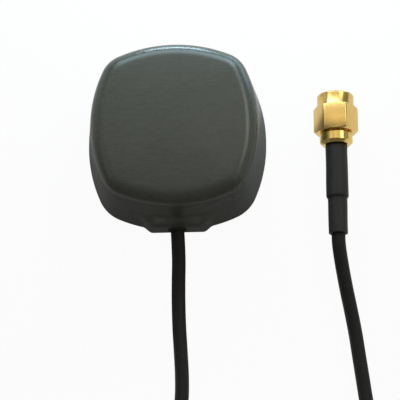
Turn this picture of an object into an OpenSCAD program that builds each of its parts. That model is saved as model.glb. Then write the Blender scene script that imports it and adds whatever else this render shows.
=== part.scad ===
// Active satellite-navigation antenna: a magnetic puck with a ceramic patch inside,
// a thin coaxial lead and a screw-on coaxial plug.
// Frame: millimetres, +Z up, origin at the middle of the foot pad's underside.
// The lead leaves the housing towards -Y, and the plug lies on its +X side.

/* [Housing] */
// Radius of the slow bow of each side, at the lower edge
side_r = 30; // [27:0.5:60]
// Radius of the upright corners, at the lower edge
corner_r = 7.8; // [7:0.1:9]
// Length that the housing has over its width
body_stretch = 0.6; // [0:0.1:8]
// Lean of the side walls in degrees
draft = 8; // [4:0.5:9]
// Radius of the rounded top edge
edge_r = 3.5; // [2:0.1:3.6]
// Rise of the top face towards its middle
crown = 0.4; // [0.1:0.1:1]
// Thickness of the side walls
wall = 1.6; // [1.4:0.1:2]
// Thickness of the roof at its rim
roof = 1.2; // [1:0.1:2]
// Free height between the feed pin's head and the roof
roof_gap = 3.1; // [0.4:0.1:10]
// Radius of the small round at the lower edge
skirt_r = 0.25; // [0.1:0.05:0.4]

/* [Cable outlet] */
// Width of the flat face of the outlet
boss_w = 10.4; // [8:0.1:14]
// Width over which the outlet's cheeks run back into the wall
boss_blend = 2; // [1.5:0.1:4]
// How far the outlet stands out past the lower edge
boss_out = 0.4; // [0.3:0.1:3]
// Height above the lower edge to which the outlet's face is flat
boss_flat = 4.2; // [3.5:0.1:5]
// Height over which the outlet's top runs back into the wall
boss_fade = 4; // [2:0.1:5]
// Share of the outlet's width that is lost on its way up
boss_taper = 0.45; // [0:0.05:0.6]
// Height of the cable's axis at the outlet
cable_z = 2.8; // [2.5:0.1:3.2]
// Wall of the rubber bush round the cable
bush_wall = 0.4; // [0.3:0.05:0.6]
// How far the bush stands out of the outlet
bush_out = 0.3; // [0.1:0.1:1]

/* [Base] */
// Thickness of the base plate
base_t = 2; // [1.8:0.1:4]
// Gap between the base plate and the cover
base_gap = 0.15; // [0.05:0.05:0.4]
// Radius of the foot pad
pad_r = 11.5; // [8:0.5:12]
// Thickness of the foot pad
pad_t = 0.8; // [0.6:0.1:1.2]
// How far the pad stands below the base plate
pad_out = 0.4; // [0.2:0.1:0.5]
// Height of the sealing ring in the base plate's edge
seal_h = 0.6; // [0.4:0.1:0.8]
// Depth of the sealing ring's groove
seal_d = 0.6; // [0.4:0.1:0.8]
// Radius of a magnet
magnet_r = 4.5; // [3:0.1:5]
// Thickness of a magnet
magnet_t = 2; // [1:0.1:4]
// Distance of each magnet from the middle
magnet_x = 6.2; // [6:0.1:7]
// Plate left under a magnet
magnet_floor = 0.4; // [0.3:0.1:0.6]
// Radius of a screw post
post_r = 1.6; // [1.4:0.1:2]
// Gap between a screw post and the wall beside it
post_gap = 0.4; // [0.2:0.1:2]
// Radius of a screw's shank
screw_r = 0.9; // [0.7:0.05:1]
// Length of a screw's thread inside its post
screw_grip = 4.6; // [3:0.1:6]
// Radius of a screw's head
head_r = 1.7; // [1.5:0.1:2]
// Height of a screw's head
head_h = 0.8; // [0.6:0.1:1]

/* [Receiver front end] */
// Side of the square ceramic patch
patch_side = 18; // [15:0.5:30]
// Thickness of the ceramic patch
patch_t = 4; // [2:0.1:8]
// Gap between the patch's corners and the screw posts
patch_gap = 0.6; // [0.5:0.1:4]
// Margin of bare ceramic round the metal face
face_margin = 1.7; // [0.8:0.1:3]
// Thickness of the tape under the patch
tape_t = 0.2; // [0.1:0.1:1]
// Distance of the feed pin from the patch's middle
feed_y = 2; // [1:0.1:3]
// Radius of the feed pin
feed_r = 0.5; // [0.3:0.05:0.7]
// Thickness of the circuit board
board_t = 0.8; // [0.6:0.1:2]
// Width of board that shows past the patch on each side
board_margin = 4; // [3:0.1:5]
// Side of the square shield can
can_side = 14; // [12:0.5:15]
// Height of the shield can
can_h = 1.8; // [1.5:0.1:4]
// Sheet thickness of the shield can and of the cable clip
sheet_t = 0.2; // [0.1:0.05:0.3]
// Gap between the magnets and the shield can
can_gap = 0.5; // [0.2:0.1:5]
// Distance of the two chips from the middle, along X
chip_x = 3; // [2.5:0.1:4]
// Distance of the two chips from the middle, along Y
chip_y = 2.5; // [2:0.1:3]
// Side of the amplifier chip
amp_side = 2; // [1.2:0.1:3]
// Side of the filter chip
filter_side = 3; // [2:0.1:3.4]
// Gap between the small parts and the can beside them
part_gap = 0.7; // [0.3:0.1:1]
// Spacing of the small parts in a row
part_step = 1.6; // [1.2:0.1:1.8]

/* [Cable] */
// Diameter of the cable
cable_d = 2.8; // [2.6:0.1:2.9]
// Diameter of the braid
braid_d = 2.1; // [1.9:0.1:2.2]
// Diameter of the inner insulation
core_d = 1.5; // [1.3:0.1:1.7]
// Diameter of the inner conductor
wire_d = 0.5; // [0.4:0.05:0.6]
// Turns in the put-away coil, a whole number and a half
coil_turns = 22.5; // [10.5:1:22.5]
// Radius of the coil's innermost turn
coil_in = 10.8; // [10:0.1:14]
// Space between neighbouring turns
coil_gap = 0.5; // [0.45:0.05:1]
// Thickness of the tie's strip
tie_t = 0.6; // [0.4:0.1:1]
// Width of the tie's strip
tie_w = 3; // [2:0.1:5]

/* [Plug] */
// Place of the middle of the nut's front face, along X
plug_x = 33.1; // [30:0.1:60]
// Place of the middle of the nut's front face, along Y
plug_y = 8.3; // [-10:0.1:30]
// Turn of the plug away from the +Y direction, degrees clockwise
plug_turn = 1.2; // [-20:0.1:20]
// Width of the nut across its flats
nut_af = 8; // [7.6:0.1:10]
// Turn of the nut on the plug, as it lies, in degrees
nut_turn = 7; // [0:0.5:30]
// Length of the six-sided part of the nut
hex_l = 5.6; // [5.4:0.1:9]
// Radius of the round collar in front of it
collar_r = 3.75; // [3.6:0.05:3.9]
// Length of the collar
collar_l = 2.65; // [2.4:0.05:4]
// Diameter of the mating thread
thread_d = 6.35; // [6.2:0.05:6.5]
// Depth of the mating plane inside the nut
mate_depth = 2.6; // [2.3:0.1:2.8]
// Outer radius of the plug's contact shell
shell_r = 2.3; // [2.2:0.05:2.35]
// Inner radius of the plug's contact shell
shell_bore = 2.05; // [1.9:0.05:2.1]
// Free length of the contact shell
shell_l = 1.7; // [1.4:0.1:2]
// Radius of the centre contact where it mates
contact_r = 0.457; // [0.4:0.001:0.5]
// How far the centre contact stands past the mating plane
contact_out = 1.9; // [1.4:0.1:2.2]
// Radius of the neck that the nut turns on
neck_r = 2.5; // [2.45:0.05:2.55]
// Running clearance between the nut and the neck
neck_gap = 0.06; // [0.03:0.01:0.1]
// Free movement of the nut along the plug
nut_float = 0.2; // [0.15:0.05:0.4]
// Radius of the plug's rear barrel
barrel_r = 3.35; // [3:0.05:3.6]
// Length of the rear barrel
barrel_l = 2.4; // [1.8:0.1:5]
// Chamfer on the barrel's rear edge
barrel_cut = 0.6; // [0.2:0.1:0.8]
// Length of the crimp ferrule
ferrule_l = 10.6; // [7:0.1:14]
// Wall of the crimp ferrule
ferrule_wall = 0.3; // [0.2:0.05:0.5]
// Wall of the shrink sleeve over the ferrule and the cable
sleeve_wall = 0.55; // [0.3:0.05:0.7]
// Length of the sleeve past the ferrule's end
sleeve_tail = 8.1; // [4:0.1:14]

/* [Hidden] */
$fn = 64;

// Colours
plastic = "#4b4d49";
black_rubber = "#232422";
gold = "#d4b25c";
ptfe = "#f1efe6";
bare_metal = "#b9bcbd";
copper = "#b87745";

// Heights of the stack inside the housing, from the ground up
skirt_z = pad_out;
base_top = skirt_z + base_t;
recess_top = pad_t;
magnet_z = recess_top + magnet_floor;
magnet_top = magnet_z + magnet_t;
can_z = max(magnet_top, base_top) + can_gap;
board_z = can_z + can_h;
board_top = board_z + board_t;
patch_z = board_top + tape_t;
patch_top = patch_z + patch_t;
face_t = 0.1;
feed_head_t = 0.3;
feed_head_r = 2 * feed_r;
ceiling = patch_top + face_t + feed_head_t + roof_gap;
rim_z = ceiling + roof;
body_h = rim_z + crown;

// Plan of the housing: four bowed sides and four round corners, sized so that a screw post
// stands between each corner of the patch and the wall at the height of the ceiling
lean = tan(draft);
ceiling_inset = wall + (ceiling - skirt_z) * lean;
post_c = patch_side / 2 + (patch_gap + post_r) / sqrt(2);
corner_c = post_c - (corner_r - ceiling_inset - post_r - post_gap) / sqrt(2);
side_c = corner_c - sqrt(pow(side_r - corner_r, 2) - pow(corner_c, 2));
side_t = atan2(corner_c, corner_c - side_c);
half_w = side_r + side_c;
half_stretch = body_stretch / 2;
half_l = half_w + half_stretch;
side_steps = 8;
front_steps = 44;
corner_steps = 8;

// Places that several pieces share
post_y = post_c + half_stretch;
outlet_y = half_l + boss_out;
bush_y = outlet_y + bush_out;
inner_wall_y = half_l - wall - (cable_z - skirt_z) * lean;
base_inset = wall + base_t * lean + base_gap;
seal_z = skirt_z + 0.3;
fit_gap = 0.15;
head_z = skirt_z + 0.1;
board_half = patch_side / 2 + board_margin;
board_cut = post_c + post_y - (post_r + 0.4) * sqrt(2);
pillar_x = board_half - 1.8;
pillar_y = 5.5;
pillar_r = 1;
stake_r = 0.6;
cup_wall = 0.8;
part_w = 0.5;
part_l = 1;
part_t = 0.5;
amp_t = 0.8;
filter_t = 1;
can_in = can_side / 2 - sheet_t;
part_x = can_in - 2 * part_gap - part_w;
part_back = can_in - part_gap - part_l / 2;
part_front = part_back - 2 * part_l;

// Bared end of the cable under the board
clip_l = 2;
clip_y = board_half - 0.2;
jacket_end_y = clip_y + 0.6;
braid_end_y = clip_y - clip_l - 0.4;
core_end_y = braid_end_y - 0.6;
wire_bend = 1;
wire_y = core_end_y - wire_bend - 0.3;

// Lengths along the plug, from the nut's front face towards the cable
nut_l = collar_l + hex_l;
seat_z = mate_depth + shell_l;
flange_z = seat_z + 0.6;
flange_end = flange_z + 1;
nut_floor = flange_end + nut_float + 0.1;
ring_z = nut_floor + 0.5;
ring_t = 0.4;
barrel_z = nut_l + nut_float;
barrel_end = barrel_z + barrel_l;
stem_end = barrel_end + 0.45 * ferrule_l;
ferrule_end = barrel_end + ferrule_l;
sleeve_end = ferrule_end + sleeve_tail;
bore_r = thread_d / 2;
flange_r = bore_r - 0.325;
ring_seat_r = shell_r + 0.2;
stem_r = core_d / 2 + 0.25;
ferrule_r = cable_d / 2 + ferrule_wall;
contact_back_r = 0.635;
insulator_end = barrel_z + 0.6 * barrel_l;
solder_z = insulator_end - 2;

plug_z = nut_af / sqrt(3) * cos(30 - nut_turn) + 0.05;
plug_dir = [sin(plug_turn), cos(plug_turn), 0];
plug_at = [plug_x, plug_y, plug_z];
sleeve_at = plug_at - sleeve_end * plug_dir;

// The put-away coil: it starts and ends on its outermost turn, four layers high
coil_pitch = cable_d + coil_gap;
coil_layer = coil_turns / 4;
coil_out = coil_in + coil_pitch * coil_layer;
coil_x = 17;
coil_y = -94;
coil_z = tie_t + 0.1 + cable_d / 2;
coil_top = coil_z + 3 * coil_pitch;
coil_steps = 24;
coil_sides = 6;
lead_sides = 8;
ground_z = cable_d / 2;

// Routes of the two free stretches of cable, from the housing and the plug to the coil
antenna_route = [
    [0, -bush_y, cable_z],
    [0.1, -bush_y - 2.6, cable_z - 0.2],
    [0.15, -25.8, 2],
    [0.05, -29.5, 1.6],
    [0, -34, ground_z],
    [0.1, -39, ground_z],
    [0.35, -44, ground_z],
    [0.55, -49, ground_z],
    [0.4, -54, ground_z],
    [-0.5, -59, ground_z],
    [-2.2, -64, ground_z],
    [-4.5, -69, ground_z + 0.1],
    [-7.2, -74, ground_z + 0.3],
    [-9.8, -79, ground_z + 0.4],
    [-11.6, -83.5, ground_z + 0.6],
    [coil_x - coil_out + 0.1, coil_y + cable_d + 4, coil_z - 0.1],
    [coil_x - coil_out, coil_y + cable_d, coil_z],
];
plug_route = [
    sleeve_at,
    sleeve_at - 2.5 * plug_dir + [0.1, 0, -0.2],
    [33, -27.5, 3.3],
    [33.7, -32, 2.5],
    [34.5, -36.5, 1.8],
    [35.2, -41, ground_z],
    [35.7, -45.5, ground_z],
    [36.2, -50, ground_z],
    [36.7, -54.5, ground_z],
    [37.3, -59, 1.6],
    [38.6, -63.8, 2.4],
    [40.4, -68.5, 3.7],
    [42.5, -73.5, 5.6],
    [44.4, -78, 7.8],
    [45.7, -82.5, 9.9],
    [46.3, -87, 11.5],
    [coil_x + coil_out, coil_y + cable_d, coil_top],
];

function ease(t) = t <= 0 ? 0 : t >= 1 ? 1 : t * t * (3 - 2 * t);
function turn(p, a) = [p.x * cos(a) - p.y * sin(a), p.x * sin(a) + p.y * cos(a)];
function arc(c, r, a0, a1, n) = [
    for (i = [0:n - 1])
        let (t = a0 + (a1 - a0) * i / n)
        c + r * [cos(t), sin(t)]
];

// Plan of the housing, drawn in by an inset: right side, back, left, then front
function outline(inset) = [
    for (k = [0:3])
        for (p = concat(
            arc([side_c, 0], side_r - inset, -side_t, side_t, k == 3 ? front_steps : side_steps),
            arc([corner_c, corner_c], corner_r - inset, side_t, 90 - side_t, corner_steps)
        ))
            let (q = turn(p, 90 * k))
            [q.x, q.y + sign(q.y) * half_stretch]
];

// The outlet pulls the front of a ring out to one flat face and lets go of it again
function outlet_pull(x, z) =
    let (rise = ease((z - skirt_z) / (boss_flat + boss_fade)),
        half = boss_w / 2 * (1 - boss_taper * rise),
        blend = boss_blend * (1 + 1.5 * rise))
    (1 - ease((abs(x) - half) / blend)) * (1 - ease((z - skirt_z - boss_flat) / boss_fade));
function plain_ring(inset, z) = [for (p = outline(inset)) [p.x, p.y, z]];
function outlet_ring(inset, z) = [
    for (p = outline(inset))
        [p.x, p.y < 0 ? p.y - (outlet_y - inset_at_foot(z) + p.y) * outlet_pull(p.x, z) : p.y, z]
];
function inset_at_foot(z) = z < skirt_z + skirt_r ? skirt_z + skirt_r - z : 0;

// Upright section of the cover: [inset, height] from the lower edge to the rim of the top face
crown_t = atan(2 * crown / (half_w - ceiling_inset));
edge_z = rim_z - edge_r;
tangent_z = edge_z + edge_r * sin(draft);
edge_inset = (tangent_z - skirt_z) * lean + edge_r * cos(draft);
wall_section = concat(
    [for (a = [0:45:90]) [skirt_r * (1 - sin(a)), skirt_z + skirt_r * (1 - cos(a))]],
    [for (k = [1:9]) let (z = skirt_z + k * (tangent_z - skirt_z) / 10) [(z - skirt_z) * lean, z]],
    [for (k = [0:8])
        let (a = draft + k * (90 - crown_t - draft) / 8)
        [edge_inset - edge_r * cos(a), edge_z + edge_r * sin(a)]]
);
top_inset = wall_section[len(wall_section) - 1][0];
top_z = wall_section[len(wall_section) - 1][1];
function crown_ring(s) = [
    for (p = outline(top_inset))
        [p.x * s, p.y * s, top_z + crown * (1 - s * s)]
];

// Faces of a closed skin: a fan, rows of triangle pairs between rings of n points, a fan
function skin_faces(n, rings) = concat(
    [for (i = [0:n - 1]) [0, 1 + i, 1 + (i + 1) % n]],
    [for (r = [0:rings - 2], i = [0:n - 1])
        let (a = 1 + r * n + i, b = 1 + r * n + (i + 1) % n)
        [a, a + n, b]],
    [for (r = [0:rings - 2], i = [0:n - 1])
        let (a = 1 + r * n + i, b = 1 + r * n + (i + 1) % n)
        [b, a + n, b + n]],
    [for (i = [0:n - 1])
        let (a = 1 + (rings - 1) * n)
        [a + n, a + (i + 1) % n, a + i]]
);
module skin(rings, first, last) {
    n = len(rings[0]);
    points = concat([first], [for (r = rings) for (p = r) p], [last]);
    polyhedron(points, skin_faces(n, len(rings)), convexity = 8);
}

// A round tube swept along points, with square ends
function unit(v) = v / norm(v);
function tube_ring(at, dir, r, n) =
    let (side = unit(cross(dir, [0, 0, 1])), up = cross(side, dir))
    [for (i = [0:n - 1]) let (a = 360 * (i + 0.5) / n) at + r * (cos(a) * side - sin(a) * up)];
module tube(points, first_dir, last_dir, r, n) {
    last = len(points) - 1;
    rings = [
        for (i = [0:last])
            let (dir = i == 0 ? first_dir
                : i == last ? last_dir
                : unit(points[i + 1] - points[i - 1]))
            tube_ring(points[i], unit(dir), r, n)
    ];
    skin(rings, points[0], points[last]);
}

// Centre line of the coil: the radius runs in and out at a steady rate, and the line climbs
// a layer in the half turn where it reverses
function coil_radius(u) =
    let (w = u % (2 * coil_layer))
    coil_out - coil_pitch * (w < coil_layer ? w : 2 * coil_layer - w);
function coil_height(u) =
    coil_z + coil_pitch * (ease((u - coil_layer) / 0.5 + 0.5)
        + ease((u - 2 * coil_layer) / 0.5 + 0.5)
        + ease((u - 3 * coil_layer) / 0.5 + 0.5));
function coil_point(u) = [
    coil_x + coil_radius(u) * cos(180 + 360 * u),
    coil_y + coil_radius(u) * sin(180 + 360 * u),
    coil_height(u)
];
function coil_line() = [for (i = [0:coil_turns * coil_steps]) coil_point(i / coil_steps)];
function least_gap(line) = min([
    for (i = [0:len(line) - 1])
        min([1000, for (j = [i + coil_steps / 2:1:len(line) - 1]) norm(line[i] - line[j])])
]) - cable_d;

// Pieces turned about the plug's axis, measured back from the nut's front face
module at_plug() {
    translate(plug_at) rotate([0, 0, -plug_turn]) rotate([-90, 0, 0]) children();
}
module turned(section) {
    rotate_extrude() polygon([for (p = section) [p.x, -p.y]]);
}
module ring_of(r_in, r_out, z0, z1) {
    turned([[r_in, z0], [r_out, z0], [r_out, z1], [r_in, z1]]);
}
// Pieces along the cable's axis in the outlet, measured towards -Y from the middle
module at_outlet() {
    translate([0, 0, cable_z]) rotate([90, 0, 0]) children();
}
module sleeve_piece(r_in, r_out, y0, y1) {
    translate([0, 0, y0]) difference() {
        cylinder(r = r_out, h = y1 - y0);
        translate([0, 0, -1]) cylinder(r = r_in, h = y1 - y0 + 2);
    }
}
module at_posts() {
    for (x = [-post_c, post_c], y = [-post_y, post_y])
        translate([x, y, 0]) children();
}
module box(w, l, h) {
    translate([-w / 2, -l / 2, 0]) cube([w, l, h]);
}

module top_cover() {
    outer = [for (s = wall_section) outlet_ring(s[0], s[1])];
    inner = [plain_ring(ceiling_inset, ceiling), plain_ring(wall, skirt_z)];
    rings = concat(inner, outer, [crown_ring(0.7), crown_ring(0.35)]);
    color(plastic) difference() {
        union() {
            skin(rings, [0, 0, ceiling], [0, 0, top_z + crown]);
            at_posts() translate([0, 0, base_top])
                cylinder(r = post_r, h = ceiling + roof / 2 - base_top);
        }
        at_posts() translate([0, 0, base_top - 1]) cylinder(r = screw_r, h = screw_grip + 1.4);
        at_outlet() translate([0, 0, inner_wall_y - 2])
            cylinder(r = cable_d / 2 + bush_wall, h = outlet_y - inner_wall_y + 4);
    }
}

module base_plate() {
    color("#303230") difference() {
        union() {
            translate([0, 0, skirt_z]) linear_extrude(base_t) polygon(outline(base_inset));
            for (x = [-magnet_x, magnet_x])
                translate([x, 0, skirt_z])
                    cylinder(r = magnet_r + fit_gap + cup_wall, h = magnet_top - 0.2 - skirt_z);
            for (x = [-pillar_x, pillar_x], y = [-pillar_y, pillar_y])
                translate([x, y, skirt_z]) {
                    cylinder(r = pillar_r, h = board_z - skirt_z);
                    cylinder(r = stake_r, h = board_top + 0.3 - skirt_z);
                }
        }
        translate([0, 0, seal_z]) linear_extrude(seal_h) difference() {
            polygon(outline(base_inset - 2));
            polygon(outline(base_inset + seal_d));
        }
        translate([0, 0, skirt_z - 1]) cylinder(r = pad_r + fit_gap, h = 1 + recess_top - skirt_z);
        for (x = [-magnet_x, magnet_x])
            translate([x, 0, magnet_z]) cylinder(r = magnet_r + fit_gap, h = magnet_t + 1);
        at_posts() {
            translate([0, 0, skirt_z - 1]) cylinder(r = screw_r + 0.1, h = base_t + 2);
            translate([0, 0, skirt_z - 1]) cylinder(r = head_r + fit_gap, h = head_z + head_h - skirt_z + 1);
        }
        at_outlet() translate([0, 0, core_end_y - 3])
            cylinder(r = cable_d / 2 + 0.1, h = half_l - core_end_y + 4);
    }
}

module base_pad() {
    color(black_rubber) cylinder(r = pad_r, h = pad_t);
}

module edge_seal() {
    color(black_rubber) translate([0, 0, seal_z]) linear_extrude(seal_h) difference() {
        polygon(outline(base_inset - base_gap / 2));
        polygon(outline(base_inset + seal_d));
    }
}

module magnets() {
    color(bare_metal) for (x = [-magnet_x, magnet_x])
        translate([x, 0, magnet_z]) cylinder(r = magnet_r, h = magnet_t);
}

module base_screws() {
    slot_w = 0.4;
    color("#6d7072") at_posts() difference() {
        translate([0, 0, head_z]) {
            cylinder(r = head_r, h = head_h);
            cylinder(r = screw_r, h = base_top + screw_grip - head_z);
        }
        for (a = [0, 90])
            translate([0, 0, head_z - 1]) rotate([0, 0, a]) box(slot_w, 1.3 * head_r, 1.35);
    }
}

module ceramic_patch() {
    color("#d9cdb8") difference() {
        translate([0, 0, patch_z]) box(patch_side, patch_side, patch_t);
        translate([0, -feed_y, patch_z - 1]) cylinder(r = feed_r, h = patch_t + 2);
    }
}

module patch_face() {
    half = patch_side / 2 - face_margin;
    trim = 1.6;
    color("#c9cbca") difference() {
        translate([0, 0, patch_top]) linear_extrude(face_t) polygon([
            [-half, -half], [half - trim, -half], [half, -half + trim],
            [half, half], [-half + trim, half], [-half, half - trim]
        ]);
        translate([0, -feed_y, patch_top - 1]) cylinder(r = feed_r, h = 2);
    }
}

module feed_pin() {
    color(bare_metal) translate([0, -feed_y, 0]) {
        translate([0, 0, board_z - 0.4])
            cylinder(r = feed_r, h = patch_top + face_t + feed_head_t - board_z + 0.4);
        translate([0, 0, patch_top + face_t]) cylinder(r = feed_head_r, h = feed_head_t);
    }
}

module patch_tape() {
    color("#e8e6dc") difference() {
        translate([0, 0, board_top]) box(patch_side - 1, patch_side - 1, tape_t);
        translate([0, -feed_y, board_top - 1]) cylinder(r = 2 * feed_r, h = tape_t + 2);
    }
}

// The board's corners are cut back to clear the screw posts
module circuit_board() {
    cut = 2 * board_half - board_cut;
    color("#2f6b45") difference() {
        translate([0, 0, board_z]) linear_extrude(board_t) polygon([
            for (k = [0:3])
                for (p = [[board_half, -board_half + cut], [board_half, board_half - cut]])
                    turn(p, 90 * k)
        ]);
        translate([0, -feed_y, board_z - 1]) cylinder(r = feed_r, h = board_t + 2);
        for (x = [-pillar_x, pillar_x], y = [-pillar_y, pillar_y])
            translate([x, y, board_z - 1]) cylinder(r = stake_r, h = board_t + 2);
        translate([0, -wire_y, board_z - 1]) cylinder(r = wire_d / 2, h = board_t + 2);
    }
}

module shield_can() {
    color("#c3c6c6") difference() {
        translate([0, 0, can_z]) box(can_side, can_side, can_h);
        translate([0, 0, can_z + sheet_t])
            box(can_side - 2 * sheet_t, can_side - 2 * sheet_t, can_h);
    }
}

module amplifier_chip() {
    color("#1d1e20") translate([-chip_x, chip_y, board_z - amp_t]) box(amp_side, amp_side, amp_t);
}

module filter_chip() {
    color("#c9b26a") translate([chip_x, chip_y, board_z - filter_t])
        box(filter_side, filter_side, filter_t);
}

module chip_parts() {
    color("#8d7558") for (side = [-1, 1], x = [part_x - part_step, part_x], y = [-part_front, part_back])
        translate([side * x, y, board_z - part_t]) box(part_w, part_l, part_t);
}

module cable_bush() {
    color(black_rubber) at_outlet()
        sleeve_piece(cable_d / 2, cable_d / 2 + bush_wall, inner_wall_y + 0.3, bush_y);
}

module board_jacket() {
    color(black_rubber) at_outlet() sleeve_piece(braid_d / 2, cable_d / 2, jacket_end_y, bush_y);
}

module board_braid() {
    color(copper) at_outlet() sleeve_piece(core_d / 2, braid_d / 2, braid_end_y, bush_y);
}

module board_core() {
    color(ptfe) at_outlet() sleeve_piece(wire_d / 2, core_d / 2, core_end_y, bush_y);
}

// The inner conductor runs on past its insulation and turns up through the board
module board_wire() {
    color(copper) {
        at_outlet() translate([0, 0, wire_y + wire_bend])
            cylinder(r = wire_d / 2, h = bush_y - wire_y - wire_bend);
        translate([0, -wire_y - wire_bend, cable_z + wire_bend]) rotate([90, 0, 90])
            rotate_extrude(angle = -90, start = 0) translate([wire_bend, 0]) circle(wire_d / 2);
        translate([0, -wire_y, cable_z + wire_bend])
            cylinder(r = wire_d / 2, h = board_top - 0.1 - cable_z - wire_bend);
    }
}

// A strap round the braid whose two legs are soldered to the board
module ground_clip() {
    r_in = braid_d / 2 + 0.02;
    r_out = r_in + sheet_t;
    leg = board_z - cable_z;
    color(bare_metal) translate([0, -clip_y + clip_l, cable_z]) rotate([90, 0, 0])
        linear_extrude(clip_l) polygon(concat(
            [[-r_out, leg]], arc([0, 0], r_out, 180, 360, 16), [[r_out, 0], [r_out, leg]],
            [[r_in, leg]], arc([0, 0], r_in, 360, 180, 16), [[-r_in, 0], [-r_in, leg]]
        ));
}

module antenna_lead() {
    color(black_rubber) tube(antenna_route, [0, -1, 0], [0, -1, 0], cable_d / 2, lead_sides);
}

module plug_lead() {
    color(black_rubber) tube(plug_route, -plug_dir, [0, -1, 0], cable_d / 2, lead_sides);
}

module cable_coil() {
    line = coil_line();
    echo(least_gap_between_turns = least_gap(line));
    straight = [0, cable_d, 0];
    path = concat([line[0] + straight], line, [line[len(line) - 1] + straight]);
    color(black_rubber) tube(path, [0, -1, 0], [0, 1, 0], cable_d / 2, coil_sides);
}

// A flat strip round the bundle on the coil's far side, with its ends twisted together
module coil_tie() {
    radii = [for (k = [0:coil_turns - 0.25]) coil_radius(k + 0.25)];
    clear = cable_d / 2 + 0.1;
    r0 = min(radii) - clear;
    r1 = max(radii) + clear;
    z0 = coil_z - clear;
    z1 = coil_top + clear;
    round = 1;
    tail_l = 7;
    strand = [[0.9, 0.35], [-0.9, 0.35], [-0.9, -0.35], [0.9, -0.35]];
    twisted = [for (k = [0:24]) [for (p = strand) let (q = turn(p, 36 * k)) [q.x, q.y, tail_l * k / 24]]];
    color("#2b2c2b") translate([coil_x, coil_y, 0]) {
        translate([tie_w / 2, 0, 0]) rotate([90, 0, -90]) linear_extrude(tie_w) difference() {
            polygon(round_box(r0 - tie_t, r1 + tie_t, z0 - tie_t, z1 + tie_t, round + tie_t));
            polygon(round_box(r0, r1, z0, z1, round));
        }
        translate([0, -r1 - tie_t + 0.2, (z0 + z1) / 2]) rotate([90, 0, 0])
            skin(twisted, [0, 0, 0], [0, 0, tail_l]);
    }
}
function round_box(x0, x1, y0, y1, r) = concat(
    arc([x1 - r, y1 - r], r, 0, 90, 6), [[x1 - r, y1]],
    arc([x0 + r, y1 - r], r, 90, 180, 6), [[x0, y1 - r]],
    arc([x0 + r, y0 + r], r, 180, 270, 6), [[x0 + r, y0]],
    arc([x1 - r, y0 + r], r, 270, 360, 6), [[x1, y0 + r]]
);

// The nut: a chamfered hexagon with a round collar, bored for the thread and the neck
module coupling_nut() {
    corner = nut_af / sqrt(3);
    flat = nut_af / 2;
    cone = (corner - flat) * tan(30);
    color(gold) at_plug() difference() {
        union() {
            turned([
                [0, 0], [collar_r - 0.3, 0], [collar_r, 0.3],
                [collar_r, collar_l + 0.5], [0, collar_l + 0.5]
            ]);
            intersection() {
                translate([0, 0, -nut_l]) rotate([0, 0, -nut_turn]) cylinder(r = corner, h = hex_l, $fn = 6);
                turned([
                    [0, collar_l], [flat - 0.05, collar_l], [corner + 0.1, collar_l + 1.5 * cone],
                    [corner + 0.1, nut_l - 1.5 * cone], [flat - 0.05, nut_l], [0, nut_l]
                ]);
            }
        }
        turned([
            [0, -1], [bore_r + 0.35, -1], [bore_r + 0.35, 0], [bore_r, 0.35], [bore_r, nut_floor],
            [neck_r + neck_gap, nut_floor], [neck_r + neck_gap, nut_l + 1], [0, nut_l + 1]
        ]);
        ring_of(neck_r, neck_r + 0.4, ring_z - 0.15, ring_z + ring_t + 0.15);
    }
}

module plug_body() {
    color(gold) at_plug() turned([
        [shell_bore, mate_depth], [shell_r - 0.08, mate_depth], [shell_r, mate_depth + 0.08],
        [shell_r, seat_z], [ring_seat_r, seat_z], [ring_seat_r, flange_z],
        [flange_r, flange_z], [flange_r, flange_end], [neck_r, flange_end],
        [neck_r, ring_z - 0.05], [neck_r - 0.4, ring_z - 0.05],
        [neck_r - 0.4, ring_z + ring_t + 0.05], [neck_r, ring_z + ring_t + 0.05],
        [neck_r, barrel_z], [barrel_r - 0.2, barrel_z], [barrel_r, barrel_z + 0.2],
        [barrel_r, barrel_end - barrel_cut], [barrel_r - barrel_cut, barrel_end], [stem_r, barrel_end],
        [stem_r, stem_end], [core_d / 2, stem_end], [core_d / 2, insulator_end],
        [shell_bore, insulator_end]
    ]);
}

module snap_ring() {
    color(bare_metal) at_plug() difference() {
        ring_of(neck_r - 0.4, neck_r + 0.25, ring_z, ring_z + ring_t);
        translate([0, 0, -ring_z - ring_t - 1]) translate([-0.4, 0, 0]) cube([0.8, 2 * neck_r, ring_t + 2]);
    }
}

module seal_ring() {
    color("#c2502f") at_plug() ring_of(ring_seat_r, flange_r, seat_z, flange_z);
}

module plug_insulator() {
    color(ptfe) at_plug() ring_of(contact_back_r, shell_bore, mate_depth, insulator_end);
}

// The centre contact: a pointed pin in front, a solder cup round the conductor behind
module centre_contact() {
    tip = mate_depth - contact_out;
    color(gold) at_plug() turned([
        [0, tip], [0.15, tip], [contact_r, tip + 0.4], [contact_r, mate_depth],
        [contact_back_r, mate_depth], [contact_back_r, insulator_end],
        [wire_d / 2, insulator_end], [wire_d / 2, solder_z], [0, solder_z]
    ]);
}

module crimp_ferrule() {
    color("#c8ad68") at_plug() ring_of(cable_d / 2, ferrule_r, barrel_end, ferrule_end);
}

// Shrunk tubing: wide over the ferrule, then drawn in over a short slope to the cable
module shrink_sleeve() {
    wide = ferrule_r + sleeve_wall;
    thin = cable_d / 2 + sleeve_wall;
    slope = 0.7;
    color(black_rubber) at_plug() turned([
        [ferrule_r, barrel_end], [wide - 0.15, barrel_end], [wide, barrel_end + 0.15],
        [wide, ferrule_end + 0.2], [wide - 0.08, ferrule_end + 0.4],
        [thin + 0.06, ferrule_end + 0.2 + slope], [thin, ferrule_end + 0.4 + slope],
        [thin, sleeve_end - 0.15], [thin - 0.15, sleeve_end], [cable_d / 2, sleeve_end],
        [cable_d / 2, ferrule_end], [ferrule_r, ferrule_end]
    ]);
}

module plug_jacket() {
    color(black_rubber) at_plug() ring_of(braid_d / 2, cable_d / 2, stem_end + 0.3, sleeve_end);
}

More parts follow.
